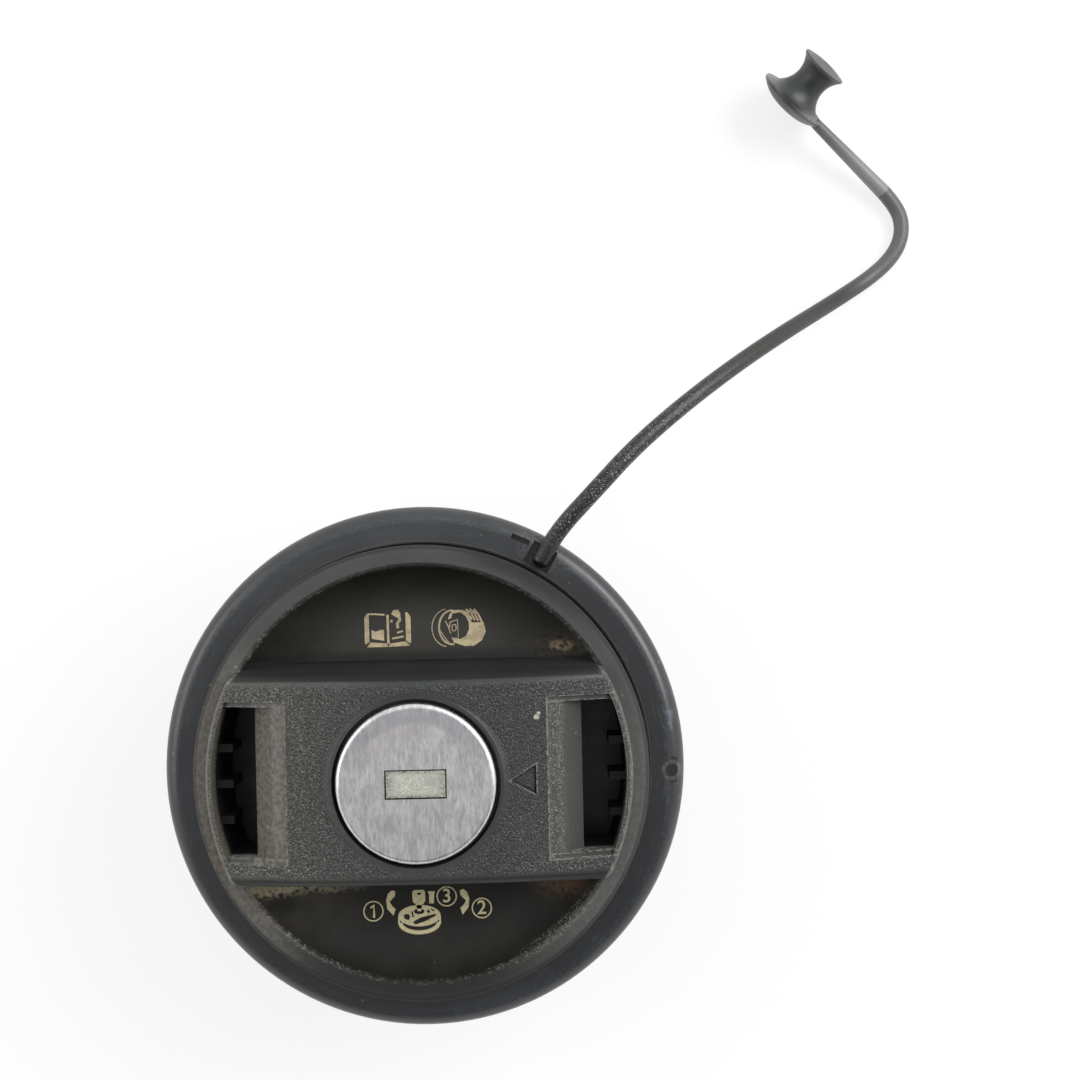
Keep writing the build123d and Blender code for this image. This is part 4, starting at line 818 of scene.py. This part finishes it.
@dataclass
class Mark:
    """One printed pictogram, drawn with lines, solid shapes and digits."""

    name: str
    centre: Point2
    lines: list[tuple[float, bool, list[Point2]]] = field(default_factory=list)
    shapes: list[list[Point2]] = field(default_factory=list)
    pierced: list[list[list[Point2]]] = field(default_factory=list)
    digit: str = ""
    digit_height: float = 2.1
    digit_share: float = 0.70
    digit_swell: float = 0.035
    thickness: float = 0.035
    lift: float = 0.012
    dish: Dish = field(default_factory=Dish)

    def build(self, material: bpy.types.Material) -> bpy.types.Object:
        """Make the pictogram as one thin mesh that lies on the dish.

        Args:
            material: the print's material.

        Returns:
            The finished piece.
        """
        parts = [self._line(*line) for line in self.lines]
        parts += [self._shape([outline]) for outline in self.shapes]
        parts += [self._shape(outlines) for outlines in self.pierced]
        if self.digit:
            parts.append(self._digit())
        bpy.ops.object.select_all(action="DESELECT")
        for part in parts:
            part.select_set(True)
        bpy.context.view_layer.objects.active = parts[0]
        if len(parts) > 1:
            bpy.ops.object.join()
        piece = bpy.context.view_layer.objects.active
        piece.name = self.name
        self._lay(piece)
        dress(piece, material)
        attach(piece, Body.GRIP.value)
        return piece

    def _curve(self, outlines: Sequence[Sequence[Point2]], closed: bool, flat: bool) -> bpy.types.Object:
        """Add a curve through each outline's points, given from the mark's centre."""
        bpy.ops.curve.primitive_bezier_curve_add()
        obj = bpy.context.active_object
        curve = obj.data
        curve.dimensions = "2D" if flat else "3D"
        curve.splines.clear()
        for points in outlines:
            spline = curve.splines.new("POLY")
            spline.points.add(len(points) - 1)
            for spot, (x, y) in zip(spline.points, points):
                spot.co = ((self.centre[0] + x) * MM, (self.centre[1] + y) * MM, 0.0, 1.0)
            spline.use_cyclic_u = closed
        return obj

    def _line(self, width: float, closed: bool, points: Sequence[Point2]) -> bpy.types.Object:
        """A line of some width, as a flattened tube."""
        obj = self._curve([points], closed, False)
        obj.data.bevel_depth = width / 2 * MM
        obj.data.bevel_resolution = 1
        obj.data.use_fill_caps = True
        mesh = self._to_mesh(obj)
        mesh.data.transform(Matrix.Diagonal((1.0, 1.0, self.thickness / width, 1.0)))
        return mesh

    def _shape(self, outlines: Sequence[Sequence[Point2]]) -> bpy.types.Object:
        """A solid shape inside the first outline, with the others cut out of it."""
        obj = self._curve(outlines, True, True)
        obj.data.fill_mode = "BOTH"
        obj.data.extrude = self.thickness / 2 * MM
        return self._to_mesh(obj)

    def _digit(self) -> bpy.types.Object:
        """The mark's digit."""
        bpy.ops.object.text_add()
        obj = bpy.context.active_object
        obj.data.body = self.digit
        obj.data.align_x = "CENTER"
        obj.data.align_y = "CENTER"
        obj.data.size = self.digit_height / self.digit_share * MM
        obj.data.extrude = self.thickness / 2 * MM
        obj.data.offset = self.digit_swell * MM
        mesh = self._to_mesh(obj)
        mesh.data.transform(Matrix.Translation((self.centre[0] * MM, self.centre[1] * MM, 0.0)))
        return mesh

    @staticmethod
    def _to_mesh(obj: bpy.types.Object) -> bpy.types.Object:
        """Turn a curve or text into a mesh with its place in it."""
        select_only(obj)
        bpy.ops.object.convert(target="MESH")
        made = bpy.context.active_object
        settle(made)
        return made

    def _lay(self, piece: bpy.types.Object) -> None:
        """Lay the flat mesh on the dish."""
        for vertex in piece.data.vertices:
            x, y, z = vertex.co
            ground = self.dish.height(x / MM, y / MM)
            vertex.co.z = z + (ground + self.lift) * MM


def ring(radius: float, count: int = 28, squash: float = 1.0, start: float = 0.0,
         sweep: float = 360.0) -> list[Point2]:
    """Points round a circle or an oval, or along a part of it.

    Args:
        radius: radius along X.
        count: number of points.
        squash: height of the oval as a share of its width.
        start: first angle, in degrees.
        sweep: angle covered, in degrees.

    Returns:
        The points from the centre.
    """
    last = count if sweep >= 360.0 else count - 1
    return [
        (radius * math.cos(math.radians(start + sweep * i / last)),
         radius * squash * math.sin(math.radians(start + sweep * i / last)))
        for i in range(count)
    ]


def shifted(points: Sequence[Point2], dx: float, dy: float) -> list[Point2]:
    """The points moved by a step."""
    return [(x + dx, y + dy) for x, y in points]


# ---------------------------------------------------------------- sub-assemblies
@dataclass
class GripCover:
    """The cover with its print and dirt."""

    print_finish: PrintFinish = field(default_factory=PrintFinish)
    finish: CoverFinish = field(default_factory=CoverFinish)

    def build(self) -> list[bpy.types.Object]:
        """Dress the cover and lay its pictograms on the dish.

        Returns:
            The new pieces.
        """
        dress(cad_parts["cover"], self.finish.make())
        ink = self.print_finish.make()
        pieces = [mark.build(ink) for mark in self.marks()]
        return pieces

    def marks(self) -> list[Mark]:
        """The pictograms: an open booklet, a hand on a cap, and three numbered steps."""
        arrow = [(0.15, 1.95), (0.72, 1.80), (0.65, 1.0), (-0.2, 0.15), (0.22, -0.55), (0.72, -1.0),
                 (0.36, -2.05), (-0.58, -0.9), (-0.72, 0.4), (-0.43, 1.4)]
        return [
            Mark("print_booklet", (-5.1, 21.85), shapes=[
                [(-3.62, 1.95), (-3.1, 2.62), (-2.9, 2.3), (-2.9, -1.85), (-3.45, -2.25), (-3.62, -2.1)],
                [(-2.74, -1.95), (-0.14, -2.17), (0.0, -2.72), (-3.3, -2.72)],
                [(0.3, -2.2), (2.8, -1.88), (3.42, -2.6), (0.06, -2.72)],
                [(2.8, 2.66), (3.15, 2.6), (3.6, 1.9), (3.6, -2.1), (3.4, -2.25), (2.8, -1.7)],
                [(-2.55, -0.02), (-1.9, -0.3), (-0.9, 0.0), (-0.6, -0.05), (-0.6, -1.75), (-2.55, -1.4)],
                [(0.6, 2.4), (0.9, 3.0), (1.7, 3.1), (2.05, 2.4), (1.9, 1.6), (1.2, 2.0)],
            ], lines=[
                (0.34, False, [(-3.05, 2.44), (-1.8, 2.42), (-0.45, 2.28)]),
                (0.40, False, [(0.0, 2.3), (0.0, 0.2), (0.05, -2.2)]),
                (0.52, False, [(1.75, 2.1), (1.9, 1.5), (1.5, 0.95), (1.55, 0.15)]),
                (0.45, False, [(0.55, 1.5), (0.62, 1.1)]),
                (0.32, False, [(1.45, -0.55), (2.4, -0.3)]),
                (0.36, False, [(0.65, -1.45), (2.45, -1.15)]),
            ]),
            Mark("print_hand", (6.0, 21.8), shapes=[
                [(-0.95, 2.35), (0.3, 2.5), (1.1, 1.9), (1.55, 1.0), (1.6, -0.2), (1.1, -1.2), (0.2, -1.7),
                 (-1.1, -1.6), (-0.8, -2.2), (0.9, -2.8), (2.3, -2.8), (3.6, -1.9), (4.2, -0.6), (3.9, 0.9),
                 (2.1, 0.85), (1.5, 1.95), (0.8, 2.75), (0.1, 2.9), (-0.9, 2.8), (-1.35, 2.3), (-1.7, 1.4),
                 (-1.15, 1.6)],
            ], lines=[
                (0.34, False, [(0.55, 2.75), (1.45, 2.3), (2.05, 1.3)]),
                (0.34, False, [(1.15, 2.95), (2.0, 2.3), (2.55, 1.2)]),
                (0.34, False, [(1.75, 3.0), (2.5, 2.3), (3.05, 1.1)]),
                (0.34, False, [(2.4, 2.95), (3.1, 2.1), (3.6, 0.9)]),
                (0.16, False, shifted(ring(2.5, 16, 1.18, 98.0, 164.0), -1.7, 0.1)),
                (0.34, False, shifted(ring(2.0, 18, 1.32, 75.0, 205.0), -1.1, 0.15)),
                (0.14, False, [(-2.9, -0.3), (-2.3, -1.3), (-1.6, -2.2)]),
                (0.20, False, [(-1.5, 0.2), (-1.3, 1.0), (-0.2, 1.35), (-0.1, -1.6), (-1.1, -1.5)]),
                (0.16, True, shifted(ring(0.34, 12, 1.6), -0.75, 0.1)),
                (0.16, False, [(-2.1, 1.2), (-1.6, 0.2), (-1.3, -0.8)]),
            ]),
            Mark("print_step_one", (-8.33, -22.09), lines=[
                (0.23, True, ring(1.5)), (0.38, False, [(-0.42, 0.50), (0.08, 0.92), (0.08, -1.0)])]),
            Mark("print_step_two", (8.61, -21.97), lines=[(0.23, True, ring(1.5))], digit="2"),
            Mark("print_step_three", (3.17, -20.04), lines=[(0.23, True, ring(1.5))], digit="3"),
            Mark("print_turn_left", (-5.59, -20.85), shapes=[arrow]),
            Mark("print_turn_right", (5.96, -20.9), shapes=[[(-x, y) for x, y in arrow]]),
            Mark("print_push", (0.71, -20.13), shapes=[
                [(-0.5, 0.95), (0.6, 0.95), (0.5, 0.4), (0.42, -0.95), (-0.3, -0.95), (-0.3, 0.4)]]),
            Mark("print_cap", (-1.16, -22.6), pierced=[
                [shifted(ring(3.3, 32, 0.503), 0.0, -0.35), shifted(ring(0.85, 16, 0.53), -0.04, 0.31),
                 [(-1.11, -1.33), (0.16, -0.64), (2.6, -0.10), (2.5, -0.45), (0.94, -1.23), (-0.62, -1.72)],
                 [(-1.3, 0.40), (-1.02, 0.30), (-0.84, -0.55), (-1.1, -0.65)],
                 [(1.13, 0.33), (1.43, 0.63), (1.72, 0.14), (1.33, -0.02)],
                 [(1.72, 0.82), (2.4, 0.45), (2.25, 0.26), (1.9, 0.43)],
                 [(-2.48, -0.35), (-2.19, -0.02), (-1.6, -0.12), (-1.45, -0.64), (-1.7, -1.03),
                  (-2.29, -0.84)]],
                [[(-1.07, 3.3), (-0.8, 3.65), (0.7, 3.65), (0.95, 3.3), (0.95, 1.9), (0.6, 1.4), (0.4, 1.4),
                  (0.3, 0.35), (-0.25, 0.35), (-0.5, 1.4), (-0.6, 1.4), (-1.0, 1.9)],
                 shifted(ring(0.35, 12, 0.57), 0.0, 3.07)],
            ], lines=[
                (0.70, False, shifted(ring(3.0, 24, 0.50, 180.0, 180.0), 0.0, -1.40)),
                (0.33, False, [(-3.2, -0.5), (-3.2, -1.6)]),
                (0.33, False, [(3.2, -0.5), (3.2, -1.6)]),
            ]),
        ]


@dataclass
class Tether:
    """The cord that leaves the collar and ends in its push-in plug."""

    diameter: float = 2.7
    length: float = 104.5
    order: int = 3
    bevel_steps: int = 6
    steps: int = 10
    finish: TetherFinish = field(default_factory=TetherFinish)
    route: Sequence[Point3] = (
        (20.064, 33.792, 35.1),
        (21.800, 36.716, 35.1),
        (27.7, 42.8, 35.9),
        (34.0, 49.4, 34.6),
        (42.4, 56.4, 31.3),
        (51.4, 63.0, 26.0),
        (60.4, 69.0, 18.0),
        (69.0, 74.4, 8.8),
        (74.8, 78.1, 3.3),
        (79.2, 81.0, 1.5),
        (82.6, 83.9, 1.4),
        (84.6, 87.0, 1.4),
        (85.1, 90.4, 1.4),
        (84.0, 93.6, 1.5),
        (81.6, 96.0, 2.3),
    )

    def build(self) -> bpy.types.Object:
        """Make the cord as one smooth tube along its route, and dress its ends.

        Returns:
            The cord.
        """
        bpy.ops.curve.primitive_nurbs_path_add()
        cord = bpy.context.active_object
        cord.name = "tether"
        curve = cord.data
        curve.dimensions = "3D"
        curve.splines.clear()
        spline = curve.splines.new("NURBS")
        spline.points.add(len(self.route) - 1)
        for spot, (x, y, z) in zip(spline.points, self.route):
            spot.co = (x * MM, y * MM, z * MM, 1.0)
        spline.order_u = self.order
        spline.use_endpoint_u = True
        curve.resolution_u = self.steps
        curve.bevel_depth = self.diameter / 2 * MM
        curve.bevel_resolution = self.bevel_steps
        curve.use_fill_caps = True
        skin = self.finish.make()
        dress(cord, skin)
        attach(cord, Body.COLLAR.value)
        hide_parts("tether_cord")
        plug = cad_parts["tether_anchor"]
        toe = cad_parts["tether_end"]
        dress(plug, AnchorFinish().make())
        dress(toe, MouldedPlastic("toe_rubber", (0.010, 0.010, 0.011), roughness=0.26, spread=0.4,
                                  grain=2.4, relief=0.06).make())
        return cord


@dataclass
class Lock:
    """The lock's brushed face and key shutter, with the parts under them."""

    def build(self) -> None:
        """Dress the lock's nodes."""
        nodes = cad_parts
        dress(nodes["lock_face"], BrushedDisc().make())
        dress(nodes["key_shutter"], ShutterFinish().make())
        zinc = DrawnMetal("die_cast_zinc", (0.42, 0.42, 0.43), 0.42, (1.0, 1.0, 2.0)).make()
        for name in ("barrel", "bolt"):
            dress(nodes[name], zinc)
        steel = DrawnMetal("drawn_steel", (0.50, 0.50, 0.50), 0.28).make()
        for name in ("barrel_clip", "shutter_pin", "shutter_spring", "wafer_springs", "guide_screws"):
            dress(nodes[name], steel)
        dress(nodes["wafers"], DrawnMetal("stamped_brass", (0.62, 0.50, 0.24), 0.32).make())
        dress(nodes["dust_ring"], MouldedPlastic("ring_rubber", (0.012, 0.012, 0.012), 0.4).make())


@dataclass
class Closure:
    """The neck, its gasket and valves, and the loose collar round the cover."""

    def build(self) -> None:
        """Dress the nodes of the closure and the collar."""
        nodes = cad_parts
        dress(nodes["collar"], CollarFinish().make())
        nylon = MouldedPlastic("black_nylon", (0.026, 0.026, 0.028), roughness=0.40, spread=0.3,
                               grain=1.0).make()
        for name in ("closure", "drive_ring", "valve_cage", "lock_housing", "bolt_guide"):
            dress(nodes[name], nylon)
        rubber = MouldedPlastic("gasket_rubber", (0.014, 0.014, 0.014), roughness=0.55, spread=0.3,
                                grain=1.6, relief=0.03).make()
        for name in ("neck_gasket", "pressure_seal", "vacuum_valve"):
            dress(nodes[name], rubber)
        natural = MouldedPlastic("natural_plastic", (0.50, 0.50, 0.46), 0.45, 0.1).make()
        for name in ("pressure_valve", "vacuum_washer"):
            dress(nodes[name], natural)
        wire = DrawnMetal("spring_wire", (0.52, 0.52, 0.52), 0.25).make()
        for name in ("pressure_spring", "vacuum_spring"):
            dress(nodes[name], wire)


@dataclass
class Studio:
    """Floor, soft lights, sky and camera."""

    floor_size: float = 1600.0
    aim: Point3 = (10.0, 20.0, 25.0)
    camera_place: Point3 = (19.0, 35.3, 262.0)
    camera_roll: float = -1.3
    lens: float = 48.52
    sensor: float = 36.0
    clip_start: float = 10.0

    def build(self) -> None:
        """Set the stage."""
        self._floor()
        self._lamp("key", (328.0, 204.0, 334.0), (340.0, 200.0), 1.55)
        self._lamp("fill", (-330.0, 60.0, 260.0), (260.0, 200.0), 0.35)
        self._sky()
        self._camera()
        bpy.context.scene.view_settings.view_transform = "Standard"

    def _floor(self) -> None:
        """A plain pale floor that the cap stands on."""
        bpy.ops.mesh.primitive_plane_add(size=self.floor_size * MM)
        floor = bpy.context.active_object
        floor.name = "floor"
        bpy.ops.object.mode_set(mode="EDIT")
        bpy.ops.mesh.subdivide(number_cuts=3)
        bpy.ops.object.mode_set(mode="OBJECT")
        dress(floor, FloorFinish().make())

    def _lamp(self, name: str, place: Point3, size: Point2, watts: float) -> None:
        """One soft oblong lamp aimed at the cap."""
        bpy.ops.object.light_add(type="AREA", location=Vector(place) * MM)
        lamp = bpy.context.active_object
        lamp.name = name
        lamp.data.shape = "RECTANGLE"
        lamp.data.size = size[0] * MM
        lamp.data.size_y = size[1] * MM
        lamp.data.energy = watts
        toward = Vector(self.aim) * MM - lamp.location
        lamp.rotation_euler = toward.to_track_quat("-Z", "Y").to_euler()

    def _sky(self) -> None:
        """A white surround that is dimmer overhead, and dimmest towards the front."""
        world = bpy.data.worlds.new("studio")
        bpy.context.scene.world = world
        world.use_nodes = True
        g = Graph(world.node_tree)
        _, y, z = g.axes(g.add("ShaderNodeTexCoord").outputs["Generated"])
        over = 0.14 + 0.80 * y.rise(-0.50, 0.35)
        low = 1 - z.rise(0.15, 0.75)
        back = g.add("ShaderNodeBackground", values={
            "Color": (1.0, 1.0, 1.0), "Strength": over + (1 - over) * low})
        g.add("ShaderNodeOutputWorld", values={"Surface": back.outputs[0]})

    def _camera(self) -> None:
        """The camera, looking straight down."""
        bpy.ops.object.camera_add(location=Vector(self.camera_place) * MM,
                                  rotation=(0.0, 0.0, math.radians(self.camera_roll)))
        camera = bpy.context.active_object
        camera.data.lens = self.lens
        camera.data.sensor_width = self.sensor
        camera.data.clip_start = self.clip_start * MM
        bpy.context.scene.camera = camera


def main() -> None:
    """Build and dress the cap, in order."""
    logging.basicConfig(level=logging.INFO, format="%(name)s: %(message)s")
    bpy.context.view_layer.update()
    cord = Tether().build()
    log.info("tether: %s, %.1f mm", cord.name, Tether.length)
    Studio().build()
    log.info("studio: floor, lamps, sky and camera")
    for piece in GripCover().build():
        log.info("print: %s", piece.name)
    Lock().build()
    log.info("lock: face, shutter and inner parts dressed")
    Closure().build()
    log.info("closure: neck, valves and collar dressed")


if __name__ == "__main__":
    main()
